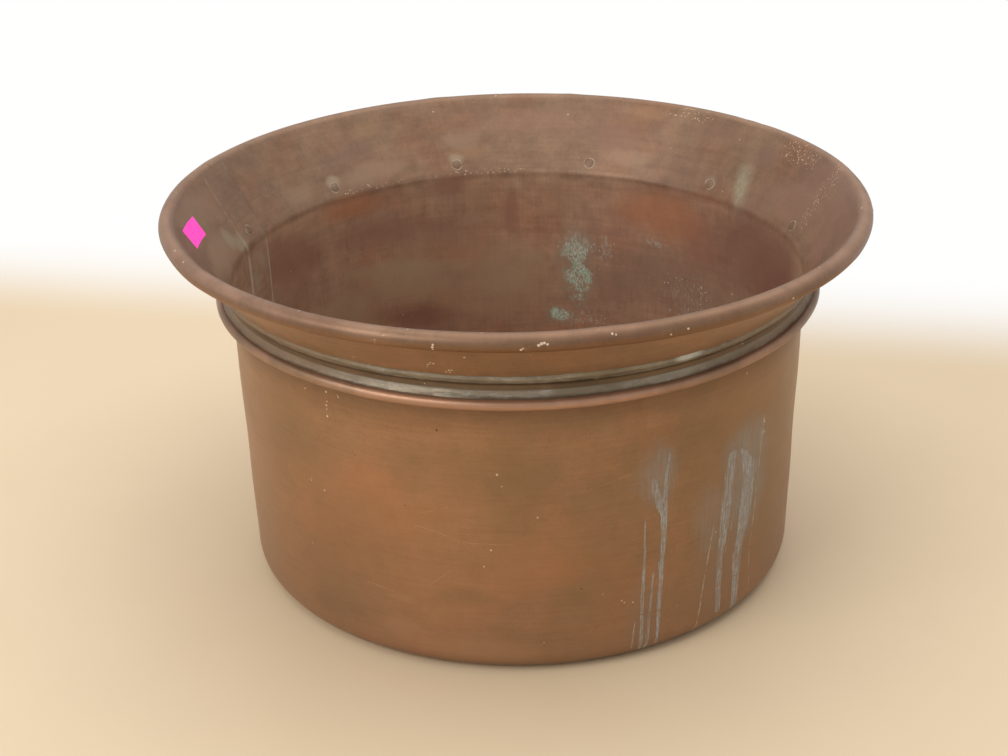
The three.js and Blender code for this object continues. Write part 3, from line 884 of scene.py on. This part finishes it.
braze_line = straight(
    side_at(BASE_SEAM_HEIGHT - BRAZE_WIDTH / 2), side_at(BASE_SEAM_HEIGHT + BRAZE_WIDTH / 2), BRAZE_WIDTH / 2
)
braze_outline, *_ = sheet_section(braze_line, SHEET, rounded=(False, False))


def braze_finish():
    """Brazing brass, filed and tarnished."""
    finish = Finish("tarnished_spelter", metallic=0.72)
    finish.tarnish((159, 120, 86), (148, 114, 84), (164, 120, 86), clouds=3.6, gloss=0.42)
    return finish.done()


braze = piece(surface("bottom_brazing", turned(braze_outline, once_round())), braze_finish())
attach(braze, "root")
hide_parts("base_braze")


# ---- Side, collar and rolled edge -----------------------------------------------------------------
# One sheet of copper makes the tapered side, the bend at the neck, the splayed collar and the roll at
# its edge. It is bent round until its two ends meet in an upright joint, and planished by hand.

NECK_BEND = 0.014
ROLL_RADIUS = 0.0104
ROLL_LIP = 0.0006  # left open between the sheet's raw edge and the collar
RIM_ROOM = complex(0.0009, 0.0009)  # left for the hand's waver inside the frame's box
SEAM_AZIMUTH = math.radians(163.2)
SEAM_LEAN = 0.014  # how far the joint has crept sideways at the rim
SEAM_OPENING = 0.0006

# The collar runs straight up to the roll and turns into it without a crease inside.
rim_corner = complex(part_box("body_sheet")[1].x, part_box("body_sheet")[1].z) - RIM_ROOM
roll_centre = rim_corner - ROLL_RADIUS * (1 + 1j)
roll_line = ROLL_RADIUS - SHEET / 2
to_roll = roll_centre - neck
collar_way = np.exp(1j * (np.angle(to_roll) + math.asin(roll_line / abs(to_roll))))
inward = 1j * collar_way
collar_top = roll_centre + inward * roll_line
roll_start = np.angle(inward)
lip_angle = math.acos((roll_line - SHEET / 2 - ROLL_LIP) / ROLL_RADIUS)

neck_bend = bend(neck, side_way, collar_way, NECK_BEND, 0.0014)
roll = arc(roll_centre, roll_line, roll_start, roll_start + lip_angle - 2 * math.pi, 0.0019)
below_roll = joined(
    straight(side_at(BASE_SEAM_HEIGHT + BRAZE_WIDTH / 2), neck_bend[0], 0.014),
    neck_bend,
    straight(neck_bend[-1], collar_top, 0.0085),
)
body_line = joined(below_roll, roll)
body_outline, body_side, body_along = sheet_section(body_line, SHEET, rounded=(False, True))


def seam_angle(radius):
    """The azimuth of the upright joint, which leans to one side above the neck."""
    over = np.clip((radius - neck.real) / (roll_centre.real - neck.real), 0, 1.2)
    return SEAM_AZIMUTH - SEAM_LEAN * over / radius


# Knocks in the rolled edge: azimuth in degrees, rise and half width.
RIM_KNOCKS = ((105, 0.0007, 0.016), (79, 0.0006, 0.012), (160, 0.0006, 0.020), (40, -0.0008, 0.020),
              (212, -0.0005, 0.025), (282, 0.0005, 0.030), (335, -0.0006, 0.022))
KNOCK_FOOT, KNOCK_FADE = 0.425, 0.02


def shorter_way(angle, azimuth):
    """The turn from an azimuth to an angle, between half a turn back and half a turn on."""
    return np.mod(angle - azimuth + math.pi, 2 * math.pi) - math.pi


def rim_lumps(angle, height):
    """Small knocks in the rolled edge: rise times e to the minus square of the distance over the half
    width, fading out below the roll."""
    total = 0
    for azimuth, rise, half_width in RIM_KNOCKS:
        apart = shorter_way(angle, math.radians(azimuth)) * rim_corner.real
        total = total + rise * np.exp(-((apart / half_width) ** 2))
    return total * faded(height, KNOCK_FOOT, KNOCK_FADE)


# The sheet starts and ends at the joint, half an opening from its middle.
turn_share = (np.arange(AROUND) / (AROUND - 1))[:, None]
opening_angle = SEAM_OPENING / body_outline.real
body_angle = seam_angle(body_outline.real) + opening_angle / 2 + turn_share * (2 * math.pi - opening_angle)
body_points = turned(body_outline, body_angle)
body_points[..., 2] += rim_lumps(body_angle, body_outline.imag)

in_roll = body_along >= len(below_roll)
body_finish = np.where(body_side < 0, 0, np.where(in_roll, 1, 2))


def roll_finish():
    """The rolled edge: as the inside where it starts, then handled and lighter on top, with a painted
    highlight there, greasy brown below, dulled at the front by painted shade, and darkened by painted
    shade where its lip lies against the collar."""
    finish = inside_finish("copper_roll", COLLAR_STAINS)
    patchy = finish.noise(14, 5, 0.6)
    # Handling wear and a painted highlight lighten the roll's top.
    top = times(finish.field("top"), spread(ramp(patchy, 0.38, 0.62), 0.6, 0.4))
    finish.cover(top, 0.9, (162, 128, 106), rough=0.48, metallic=0.62)
    finish.cover(finish.field("outer"), 0.92, (152, 108, 72), rough=0.52, metallic=0.7)
    # Painted shade dulls the front half of the roll, and its painted highlight there.
    front_shade = stain(finish, 278, 0.452, 0.420, 0.080)
    finish.darken(times(front_shade, 0.9), (0.72, 0.67, 0.60, 1.0))
    # Painted shade darkens the crease where the lip lies against the collar.
    finish.cover(finish.field("tucked"), 0.8, (78, 56, 42), rough=0.6, metallic=0.4)
    finish.cover(scratches(finish, 0.9, 0.0016, 0.5), 0.4, (206, 172, 142))
    specks = most(flecks(finish, 110.0, 0.10, 0.04), marks(finish, ROLL_MARKS))
    finish.cover(specks, 0.85, (226, 208, 184), **SPECK)
    return finish.done()


# Where the roll is handled and carries a painted highlight, where it faces out and down, and where
# painted shade lies in the crease under its lip.
TOP_FACING, TOP_HALF = math.radians(62), 0.75  # round the roll's section, as angles
OUTER_START, OUTER_FADE = math.radians(5), 0.9
LIP_SHADE_REACH = 0.0036
from_centre = np.angle(body_outline - roll_centre)
top = np.exp(-(((from_centre - TOP_FACING) / TOP_HALF) ** 4)) * in_roll
outer = faded(-from_centre, -OUTER_START, OUTER_FADE) * (from_centre > -math.pi * 0.99) * in_roll
# The painted shade in the crease fades out from the sheet's raw edge.
tucked = np.exp(-((abs(body_outline - body_line[-1]) / LIP_SHADE_REACH) ** 2))

body_mesh = surface(
    "side_and_collar", body_points, (False, True), body_finish, top=top, outer=outer, tucked=tucked
)
body = piece(body_mesh, copper_outside, roll_finish(), copper_inside)
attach(body, "root")
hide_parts("body_sheet")


# ---- Strap of the upright joint -------------------------------------------------------------------
# A strip of thinner copper is brazed over the joint inside, from just above the bottom to the roll.
# Lime has gathered along its two edges.

STRAP_WIDTH = 0.060
STRAP_SHEET = 0.0012
STRAP_TOE = 0.0026  # width of the brazing along each edge

strap_path = joined(
    straight(side_at(BASE_SEAM_HEIGHT + STRAP_SHEET), neck_bend[0], 0.004),
    neck_bend,
    straight(neck_bend[-1], collar_top, 0.004),
)
strap_bed = beside(strap_path, SHEET / 2)
strap_top = beside(strap_path, SHEET / 2 + STRAP_SHEET)
half_strap = STRAP_WIDTH / 2
toe = np.linspace(0, 1, 6)
over_flat = np.linspace(-(half_strap - STRAP_TOE), half_strap - STRAP_TOE, 25)[::-1][1:-1]
under_flat = np.linspace(-half_strap, half_strap, 12)[1:-1]
strap_across = np.concatenate([
    half_strap - STRAP_TOE * toe, over_flat, -(half_strap - STRAP_TOE * toe[::-1]), under_flat
])
strap_rise = np.concatenate([toe**0.6, np.ones(len(over_flat)), toe[::-1] ** 0.6, np.zeros(len(under_flat))])
# Its two ends are hammered thin.
from_foot = np.arange(len(strap_path))
ends = np.minimum(from_foot, from_foot[::-1])
strap_rise = strap_rise * np.clip((ends + 0.4) / 3, 0, 1)[:, None] ** 0.5
strap_section = strap_bed[:, None] + (strap_top - strap_bed)[:, None] * strap_rise
strap_angle = seam_angle(strap_section.real) + strap_across / strap_section.real
strap_points = on_pan(strap_section.real, strap_angle, strap_section.imag)


def strap_finish():
    """The strap: like the copper round it, with lime along both edges that is thickest in the pan."""
    finish = inside_finish("copper_strap", INSIDE_STAINS + COLLAR_STAINS)
    low = ramp(split(finish.vector)[2], 0.385, 0.330)
    broken = finish.noise(70, 6, 0.65)
    shown = ramp(spread(low, 0.24, broken), 0.48, 0.70)
    strength = spread(low, 0.7, 0.2)
    edges = times(finish.field("edge"), shown, strength)
    finish.cover(edges, 1, (182, 172, 150), rise=0.6, **DRIED)
    smear = times(ramp(broken, 0.44, 0.64), low)
    finish.cover(smear, 0.45, (166, 154, 134), rough=0.6, metallic=0.2)
    return finish.done()


edge_near = faded(abs(strap_across), half_strap - 2 * STRAP_TOE, STRAP_TOE)
strap = piece(surface("joint_strap", strap_points, (False, True), edge=edge_near), strap_finish())
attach(strap, "root")
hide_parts("seam_strap")


# ---- Ledge ring -----------------------------------------------------------------------------------
# The boiler hung in its brickwork by this hoop: a strip of copper with a flange that lies on the
# collar and a bead at its lower edge, rolled round the thinner iron rod.

LEDGE_SHEET = 0.0016
CLEARANCE = 0.0003
BEAD_PROUD = 0.0179  # how far the bead stands out past the neck
BEAD_DROP = 0.0145  # middle of the bead, below the neck
BEAD_RADIUS = 0.0066
BEAD_WRAP = math.radians(295)
LEDGE_BEND = 0.006
FLANGE_WIDTH = 0.0124  # up the slope, from the bend's corner to the upper edge

bead_centre = complex(NECK_RADIUS + BEAD_PROUD - BEAD_RADIUS, NECK_HEIGHT - BEAD_DROP)
bead_line = BEAD_RADIUS - LEDGE_SHEET / 2
flange_out = SHEET / 2 + CLEARANCE + LEDGE_SHEET / 2
flange_foot = neck - inward * flange_out
drop_radius = bead_centre.real - bead_line
drop_corner = flange_foot + collar_way * (drop_radius - flange_foot.real) / collar_way.real


def up_flange(distance, outward):
    """A point on or beside the flange: up its slope from the bend's corner, and out from its middle."""
    return drop_corner + collar_way * distance - inward * outward


ledge_bend = bend(drop_corner, -collar_way, -1j, LEDGE_BEND, 0.0010)
bead = arc(bead_centre, bead_line, math.pi, math.pi + BEAD_WRAP, 0.0013)
ledge_line = joined(straight(up_flange(FLANGE_WIDTH, 0), ledge_bend[0], 0.003), ledge_bend, bead)
ledge_outline, ledge_side, _ = sheet_section(ledge_line, LEDGE_SHEET)


def ledge_finish():
    """The hoop: dark olive copper on flange and drop, a darkness that is partly painted shade, and a bead
    rubbed pinkish on its outer face.
    """
    finish = Finish("copper_ledge", metallic=0.72)
    # Olive tarnish and painted shade together make the dark tone of flange and drop.
    finish.tarnish((110, 90, 70), (94, 78, 61), (116, 92, 70), clouds=9.0, gloss=0.42)
    on_bead = finish.field("bead")
    finish.cover(on_bead, 0.95, (172, 132, 106))
    bright = ramp(finish.noise(7, 5, 0.6), 0.42, 0.64)
    finish.cover(times(on_bead, bright), 0.65, (206, 160, 136), rough=0.45)
    aside = vector_worked("ADD", finish.vector, (7, 2, 5))
    olive = ramp(noise(aside, 6, 5), 0.46, 0.62)
    finish.cover(times(on_bead, olive), 0.6, (120, 104, 82))
    stained(finish, (
        ((124, 98, 76), (0.45, 305, 0.353, 0.170, 0.030)),
        ((114, 96, 76), (0.6, 205, 0.353, 0.110, 0.040)),
        ((114, 96, 78), (0.6, 338, 0.353, 0.140, 0.040)),
    ))
    finish.cover(scratches(finish, 0.2, 0.0020, 0.5), 0.4, (190, 160, 130))
    specks = flecks(finish, 110.0, 0.10, 0.05)
    finish.cover(specks, 0.7, (204, 186, 158), **SPECK)
    return finish.done()


from_bead = np.angle(ledge_outline - bead_centre)
on_rod = abs(ledge_outline - bead_centre) < BEAD_RADIUS * 1.01
RUBBED_FACING, RUBBED_HALF = 0.25, 1.8  # where hands and brickwork rub the bead, as angles round it
bead_face = np.exp(-(((from_bead - RUBBED_FACING) / RUBBED_HALF) ** 6)) * on_rod * (ledge_side < 0)
ledge = piece(surface("ledge_hoop", turned(ledge_outline, once_round()), bead=bead_face), ledge_finish())
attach(ledge, "root")
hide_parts("ledge_ring")


# ---- Rivets ---------------------------------------------------------------------------------------
# Twelve copper rivets go through collar and flange, 30 degrees apart. Their heads are flat discs
# inside the collar, ringed with a trace of lime, and their tails are hammered over on the flange.

RIVETS = 12
RIVET_SET = 0.0063  # up the flange from the bend's corner
SHANK_RADIUS = 0.0035
HEAD_RADIUS = 0.0058
HEAD_RISE = 0.0006
RING_RADIUS = 0.0079
TAIL_RADIUS = 0.0045
TAIL_RISE = 0.0009
HEAD_SUNK, TAIL_SUNK = 0.0003, 0.0002  # how far their edges reach into the sheets' faces
RING_ACROSS = np.array([0.07, 0.3, 0.7, 1, 1])  # the lime's section: from the head's edge to its own,
RING_UP = np.array([0.00005, 0.00028, 0.00022, 0.00002, -HEAD_SUNK])  # and up from the sheet
OUT_OF_ROUND = 0.03


def dome(radius, rise):
    """Half a low dome from its axis to its edge: rise * (1 - (r / radius)^4), as radius + i * height."""
    distance = radius * np.linspace(0, 1, 7)
    return distance + 1j * rise * (1 - (distance / radius) ** 4)


def rivet_azimuth(number):
    """The first rivet holds the side's joint, and the rest follow it clockwise."""
    return SEAM_AZIMUTH - number * 2 * math.pi / RIVETS


def rivet_finish():
    """A rivet: dull brown copper, and a thin broken ring of lime round its head."""
    finish = inside_finish("copper_rivet", COLLAR_STAINS)
    finish.cover(finish.field("head"), 0.7, (118, 92, 73))
    broken = ramp(finish.noise(110, 5), 0.42, 0.62)
    lime = times(finish.field("lime"), broken)
    finish.cover(lime, 0.75, (172, 156, 130), **SPECK)
    finish.cover(finish.field("groove"), 0.5, (84, 64, 50), rough=0.6)
    return finish.done()


rivet_copper = rivet_finish()
rivet_foot = up_flange(RIVET_SET, -flange_out)
around_rivet = -once_round(32)
tail_seat = SHEET / 2 + CLEARANCE + LEDGE_SHEET
for number in range(RIVETS):
    seat = SHEET / 2 + (STRAP_SHEET if number == 0 else 0)
    head = dome(HEAD_RADIUS, HEAD_RISE) + 1j * seat
    ring = HEAD_RADIUS + (RING_RADIUS - HEAD_RADIUS) * RING_ACROSS + 1j * (seat + RING_UP)
    foot = -1j * (tail_seat - TAIL_SUNK)
    shank = np.array([SHANK_RADIUS + 1j * (seat - HEAD_SUNK), SHANK_RADIUS + foot])
    tail = (dome(TAIL_RADIUS, TAIL_RISE).conj() - 1j * tail_seat)[::-1]
    rivet_outline = np.concatenate([head, ring, shank, [TAIL_RADIUS + foot], tail])
    radius = rivet_outline.real * (1 + OUT_OF_ROUND * np.cos(3 * around_rivet + number))
    place = rivet_foot + radius * np.cos(around_rivet) * collar_way + rivet_outline.imag * inward
    azimuth = rivet_azimuth(number) + radius * np.sin(around_rivet) / rivet_foot.real
    past_edge = np.arange(len(rivet_outline)) - len(head) + 1
    mesh = surface(
        f"hammered_rivet_{number + 1:02d}", on_pan(place.real, azimuth, place.imag), (True, False),
        head=past_edge < 0, groove=np.isin(past_edge, (0, 1)), lime=np.isin(past_edge, (2, 3, 4)),
    )
    rivet = piece(mesh, rivet_copper)
    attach(rivet, "root")
    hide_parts(f"rivet_{number + 1:02d}")


# ---- Solder of the ledge ring ---------------------------------------------------------------------
# Soft solder seals the hoop to the collar: a coat wiped over the flange, its upper edge and the
# rivets' tails, and a hollow fillet in the corner between drop and bead. Neither is even.

UPPER_SOLDER_FOOT = 0.0036  # up the flange from the bend's corner
UPPER_SOLDER_COAT = 0.0008
UPPER_SOLDER_LEG = 0.0032  # up the collar from the flange's edge
LOWER_SOLDER_RISE = 0.015  # up the drop, from the middle of the bead
LOWER_SOLDER_END = math.radians(90)  # round the bead
SOLDER_HOLLOW = 0.45  # 0 is a flat fillet, 1 one drawn right into its corner
COAT_FOOT_WIDTH = 0.0018  # over which the coat grows to its full thickness
EDGE_EASE = 0.0008  # how far before the flange's edge it starts to go down
SOLDER_AROUND = 1500


def solder_waves(angle, height, depth, seed):
    """Uneven wiping: a sum of waves round the pan, each depth / sqrt(turns) * cos(turns * angle + lean
    * height + start)."""
    chance = np.random.default_rng(seed)
    total = 0
    for turns in (7, 11, 18, 29, 47, 76, 123, 170):
        start, lean = chance.uniform(0, 6.3), chance.uniform(-300, 300)
        total = total + depth / math.sqrt(turns) * np.cos(turns * angle + lean * height + start)
    return total


def solder_finish():
    """Dull grey-green solder, drawn out along the joint, with paler ridges and dirt at its edges."""
    finish = Finish("soft_solder", metallic=0.55)
    finish.tarnish((142, 130, 112), (122, 112, 96), (134, 120, 101), clouds=16.0, gloss=0.42)
    pale = crust(finish, 1.0, 60.0, 0.52, (1, 1, 5))
    finish.cover(pale, 0.6, (162, 158, 148), rough=0.5, metallic=0.4, rise=0.6)
    blue = crust(finish, 1.0, 45.0, 0.60, (1, 1, 6))
    finish.cover(blue, 0.5, (126, 144, 132), **DRIED)
    brown = ramp(finish.noise(9, 5), 0.5, 0.64)
    finish.cover(brown, 0.5, (108, 92, 70))
    finish.cover(finish.field("edge"), 0.75, (78, 68, 52), rough=0.65)
    for azimuth in (207, 341):
        side = stain(finish, azimuth, 0.370, 0.260, 0.080)
        finish.cover(side, 0.8, (130, 105, 80), rough=0.55, metallic=0.35)
    dried = stain(finish, 300, 0.385, 0.022, 0.009)
    finish.cover(dried, 0.8, (196, 196, 186), rough=0.7, metallic=0.0)
    return finish.done(depth=0.0006, strength=0.5)


solder = solder_finish()


def smooth(share):
    """A smooth step from 0 to 1."""
    share = np.clip(share, 0, 1)
    return share * share * (3 - 2 * share)


# The coat: how far up the slope, and how far out from the flange's middle.
angle = once_round(SOLDER_AROUND)
on_flange, on_collar = LEDGE_SHEET / 2, -LEDGE_SHEET / 2 - CLEARANCE
coat_share = np.linspace(0, 1, 17)
coat_foot = UPPER_SOLDER_FOOT + solder_waves(angle, 0, 0.0016, 5)
coat_tip = FLANGE_WIDTH + UPPER_SOLDER_LEG + solder_waves(angle, 0, 0.0016, 6)
coat_up = coat_foot + (coat_tip - coat_foot) * coat_share
coat_out = on_flange + UPPER_SOLDER_COAT * smooth((coat_up - coat_foot) / COAT_FOOT_WIDTH)
over_edge = smooth((coat_up - FLANGE_WIDTH + EDGE_EASE) / (coat_tip - FLANGE_WIDTH + EDGE_EASE))
coat_out = coat_out - (on_flange + UPPER_SOLDER_COAT - on_collar) * over_edge
coat_out = coat_out + solder_waves(angle, coat_up, 0.0006, 7) * np.sin(math.pi * coat_share)
for number in range(RIVETS):
    apart = shorter_way(angle, rivet_azimuth(number)) * rivet_foot.real
    over_tail = np.exp(-(((apart**2 + (coat_up - RIVET_SET) ** 2) / (TAIL_RADIUS * 1.1) ** 2) ** 2))
    coat_out = coat_out + TAIL_RISE * 0.8 * over_tail
coat_back = up_flange(FLANGE_WIDTH + CLEARANCE, np.array([on_collar + 0.0001, on_flange - 0.0002]))
upper_outline = np.concatenate([
    up_flange(coat_up, coat_out), np.broadcast_to(coat_back, (SOLDER_AROUND, len(coat_back)))
], axis=1)
upper_edge = np.concatenate([abs(2 * coat_share - 1) ** 10, [1, 1]])
upper = piece(surface("upper_solder_coat", turned(upper_outline, angle), edge=upper_edge), solder)
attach(upper, "root")
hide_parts("upper_solder")

# The fillet, from the bead's crest over a hollow face to the drop, and back down against the drop.
LUMP_WAY = np.exp(0.9j)  # its lumps stand out from the face, at 0.9 radians
drop_face = drop_radius + LEDGE_SHEET / 2
solder_top = drop_face + 1j * (bead_centre.imag + LOWER_SOLDER_RISE)
bead_touch = math.acos((drop_face - bead_centre.real) / BEAD_RADIUS)
over_bead = arc(bead_centre, BEAD_RADIUS, bead_touch, LOWER_SOLDER_END, 0.0012)
chord = (solder_top + over_bead[-1]) / 2
hollow = chord + SOLDER_HOLLOW * (over_bead[0] - chord)
share = np.linspace(0, 1, 13)
face = over_bead[-1] * (1 - share) ** 2 + hollow * 2 * share * (1 - share) + solder_top * share**2
lower_outline = joined(face, over_bead)[:-1]
on_face = np.sin(math.pi * np.clip(np.arange(len(lower_outline)) / (len(share) - 1), 0, 1))
lower_lumps = solder_waves(angle, lower_outline.imag, 0.0012, 8) * on_face
lower_points = turned(lower_outline + lower_lumps * LUMP_WAY, angle)
lower_edge = (1 - on_face) ** 6 * (0.5 + 0.5 * (np.arange(len(on_face)) > 6))
lower = piece(surface("lower_solder_fillet", lower_points, edge=lower_edge), solder)
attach(lower, "root")
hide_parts("lower_solder")


# ---- Sticker --------------------------------------------------------------------------------------
# A small bare sticker of fluorescent pink paper, pressed onto the collar's inner face at the left.

STICKER_AZIMUTH = math.radians(184)
STICKER_DROP = 0.0335  # its middle, below the top of the rim
STICKER_LENGTH = 0.070
STICKER_WIDTH = 0.027
STICKER_TILT = math.radians(-7.5)
STICKER_PAPER = 0.00012
STICKER_GLUE = 0.00004
CURL = 0.0002  # how far one corner has lifted

sticker_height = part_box("body_sheet")[1].z - STICKER_DROP
sticker_foot = neck + collar_way * (sticker_height - neck.imag) / collar_way.imag
along, up_slope = np.meshgrid(np.linspace(-0.5, 0.5, 57), np.linspace(-0.5, 0.5, 25), indexing="ij")
# Turned on the paper: (x cos t + y sin t, y cos t - x sin t).
paper_x, paper_y = along * STICKER_LENGTH, up_slope * STICKER_WIDTH
round_way = paper_x * math.cos(STICKER_TILT) + paper_y * math.sin(STICKER_TILT)
slope_way = paper_y * math.cos(STICKER_TILT) - paper_x * math.sin(STICKER_TILT)
corner_share = np.clip(along - up_slope - 0.72, 0, 1) / 0.28
lift = SHEET / 2 + STICKER_GLUE + CURL * corner_share**2
sticker_angle = STICKER_AZIMUTH + round_way / sticker_foot.real
faces = []
for height_over in (lift + STICKER_PAPER, lift):
    place = sticker_foot + collar_way * slope_way + inward * height_over
    faces.append(on_pan(place.real, sticker_angle, place.imag))
# The two faces are the two halves of each row, so the grid closes on itself round the long edges.
sticker_points = np.concatenate([faces[0], faces[1][:, ::-1]], axis=1)


def paper_finish():
    """Fluorescent pink paper: matt, a little brighter than the light on it, with a trace of fibre."""
    finish = Finish("pink_paper", metallic=0.0)
    fibre = finish.noise(900, 4)
    cloud = finish.noise(60, 3)
    shade = spread(fibre, 0.5, times(cloud, 0.5))
    finish.colour = mixed(ramp(shade, 0.35, 0.65), rgb(255, 62, 182), rgb(255, 84, 200))
    finish.rough = between(fibre, 0.45, 0.65)
    finish.height = fibre
    finish.shader.inputs["Emission Color"].default_value = rgb(255, 40, 170)
    finish.shader.inputs["Emission Strength"].default_value = 0.3
    return finish.done(depth=0.0001, strength=0.2)


sticker = piece(surface("pink_sticker", sticker_points, (False, True)), paper_finish())
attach(sticker, "root")
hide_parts("lot_sticker")


# ---- Floor ----------------------------------------------------------------------------------------
# The boiler stands alone on a plain pale floor, which goes over to white further away.

FLOOR_REACH = 9.0
FLOOR_DROP = 0.0002  # just below the bottom, so that the two don't flicker


def floor_finish():
    """A plain pale floor. Far away, what looks at it sees plain white."""
    finish = Finish("pale_floor", metallic=0.0)
    away = vector_worked("LENGTH", finish.vector, output=1)
    behind = vector_worked("DOT_PRODUCT", finish.vector, (0.19, 0.98, 0.0), output=1)
    grain = finish.noise(2.5, 4)
    near = mixed(grain, rgb(226, 206, 174), rgb(218, 196, 164))
    far = most(ramp(behind, 0.56, 1.0), ramp(away, 1.6, 2.6))
    finish.colour = mixed(far, near, rgb(246, 244, 240))
    finish.rough = 0.6
    made = finish.done()
    looks = add("LightPath", {}, tree=finish.tree).node.outputs
    seen = most(looks["Is Camera Ray"], looks["Is Glossy Ray"])
    white = add("Emission", {"Color": (1.0, 1.0, 0.995, 1.0), "Strength": 1.0}, tree=finish.tree)
    shown = add("MixShader", {0: times(seen, far), 1: finish.shader.outputs[0], 2: white})
    finish.tree.links.new(shown, finish.tree.nodes["Material Output"].inputs["Surface"])
    return made


floor_radius = np.array([0.0, 0.5, 1.0, 2.0, 4.0, FLOOR_REACH])
floor_angle = once_round(96)
floor_points = np.stack(np.broadcast_arrays(
    floor_radius * np.cos(floor_angle), floor_radius * np.sin(floor_angle), -FLOOR_DROP + 0 * floor_angle
), -1)
floor_grid = np.concatenate([floor_points, floor_points[:, ::-1] - (0, 0, 0.01)], axis=1)
floor = piece(surface("floor", floor_grid), floor_finish())


# ---- Light and camera -----------------------------------------------------------------------------
# Soft daylight comes from all round, with a window at the left front and a pale ceiling above.


def area_lamp(name, place, aim, size, power, colour):
    """A soft rectangular lamp that faces a point."""
    light = bpy.data.lights.new(name, "AREA")
    light.shape = "RECTANGLE"
    light.size, light.size_y = size
    light.energy = power
    light.color = colour
    lamp = bpy.data.objects.new(name, light)
    bpy.context.scene.collection.objects.link(lamp)
    lamp.location = place
    lamp.rotation_euler = (Vector(aim) - Vector(place)).to_track_quat("-Z", "Y").to_euler()
    return lamp


area_lamp("window", (-2.4, -2.2, 2.2), (0, 0, 0.3), (2.4, 2.0), 55, (1.0, 0.985, 0.96))
area_lamp("ceiling", (0.3, 0.4, 3.0), (0, 0, 0.3), (3.4, 3.4), 50, (1.0, 0.99, 0.98))

world = bpy.data.worlds.new("studio")
bpy.context.scene.world = world
world.use_nodes = True
world.node_tree.nodes["Background"].inputs["Color"].default_value = (1.0, 0.985, 0.965, 1.0)
world.node_tree.nodes["Background"].inputs["Strength"].default_value = 0.7

CAMERA_PLACE = (0.0, -2.12309, 1.21780)
CAMERA_YAW = -0.0090
CAMERA_PITCH = 0.4414  # below the horizon
CAMERA_ROLL = -0.0229
CAMERA_LENS = 66.63

forward = np.array([
    math.sin(CAMERA_YAW) * math.cos(CAMERA_PITCH),
    math.cos(CAMERA_YAW) * math.cos(CAMERA_PITCH),
    -math.sin(CAMERA_PITCH),
])
level = np.array([math.cos(CAMERA_YAW), -math.sin(CAMERA_YAW), 0.0])
upright = np.cross(level, forward)
right = math.cos(CAMERA_ROLL) * level + math.sin(CAMERA_ROLL) * upright
top_way = -math.sin(CAMERA_ROLL) * level + math.cos(CAMERA_ROLL) * upright
lens = bpy.data.cameras.new("camera")
lens.lens = CAMERA_LENS
lens.sensor_width = 36.0
camera = bpy.data.objects.new("camera", lens)
bpy.context.scene.collection.objects.link(camera)
matrix = np.eye(4)
matrix[:3, 0], matrix[:3, 1], matrix[:3, 2], matrix[:3, 3] = right, top_way, -forward, CAMERA_PLACE
camera.matrix_world = Matrix(matrix.tolist())
bpy.context.scene.camera = camera
bpy.context.scene.view_settings.view_transform = "Standard"
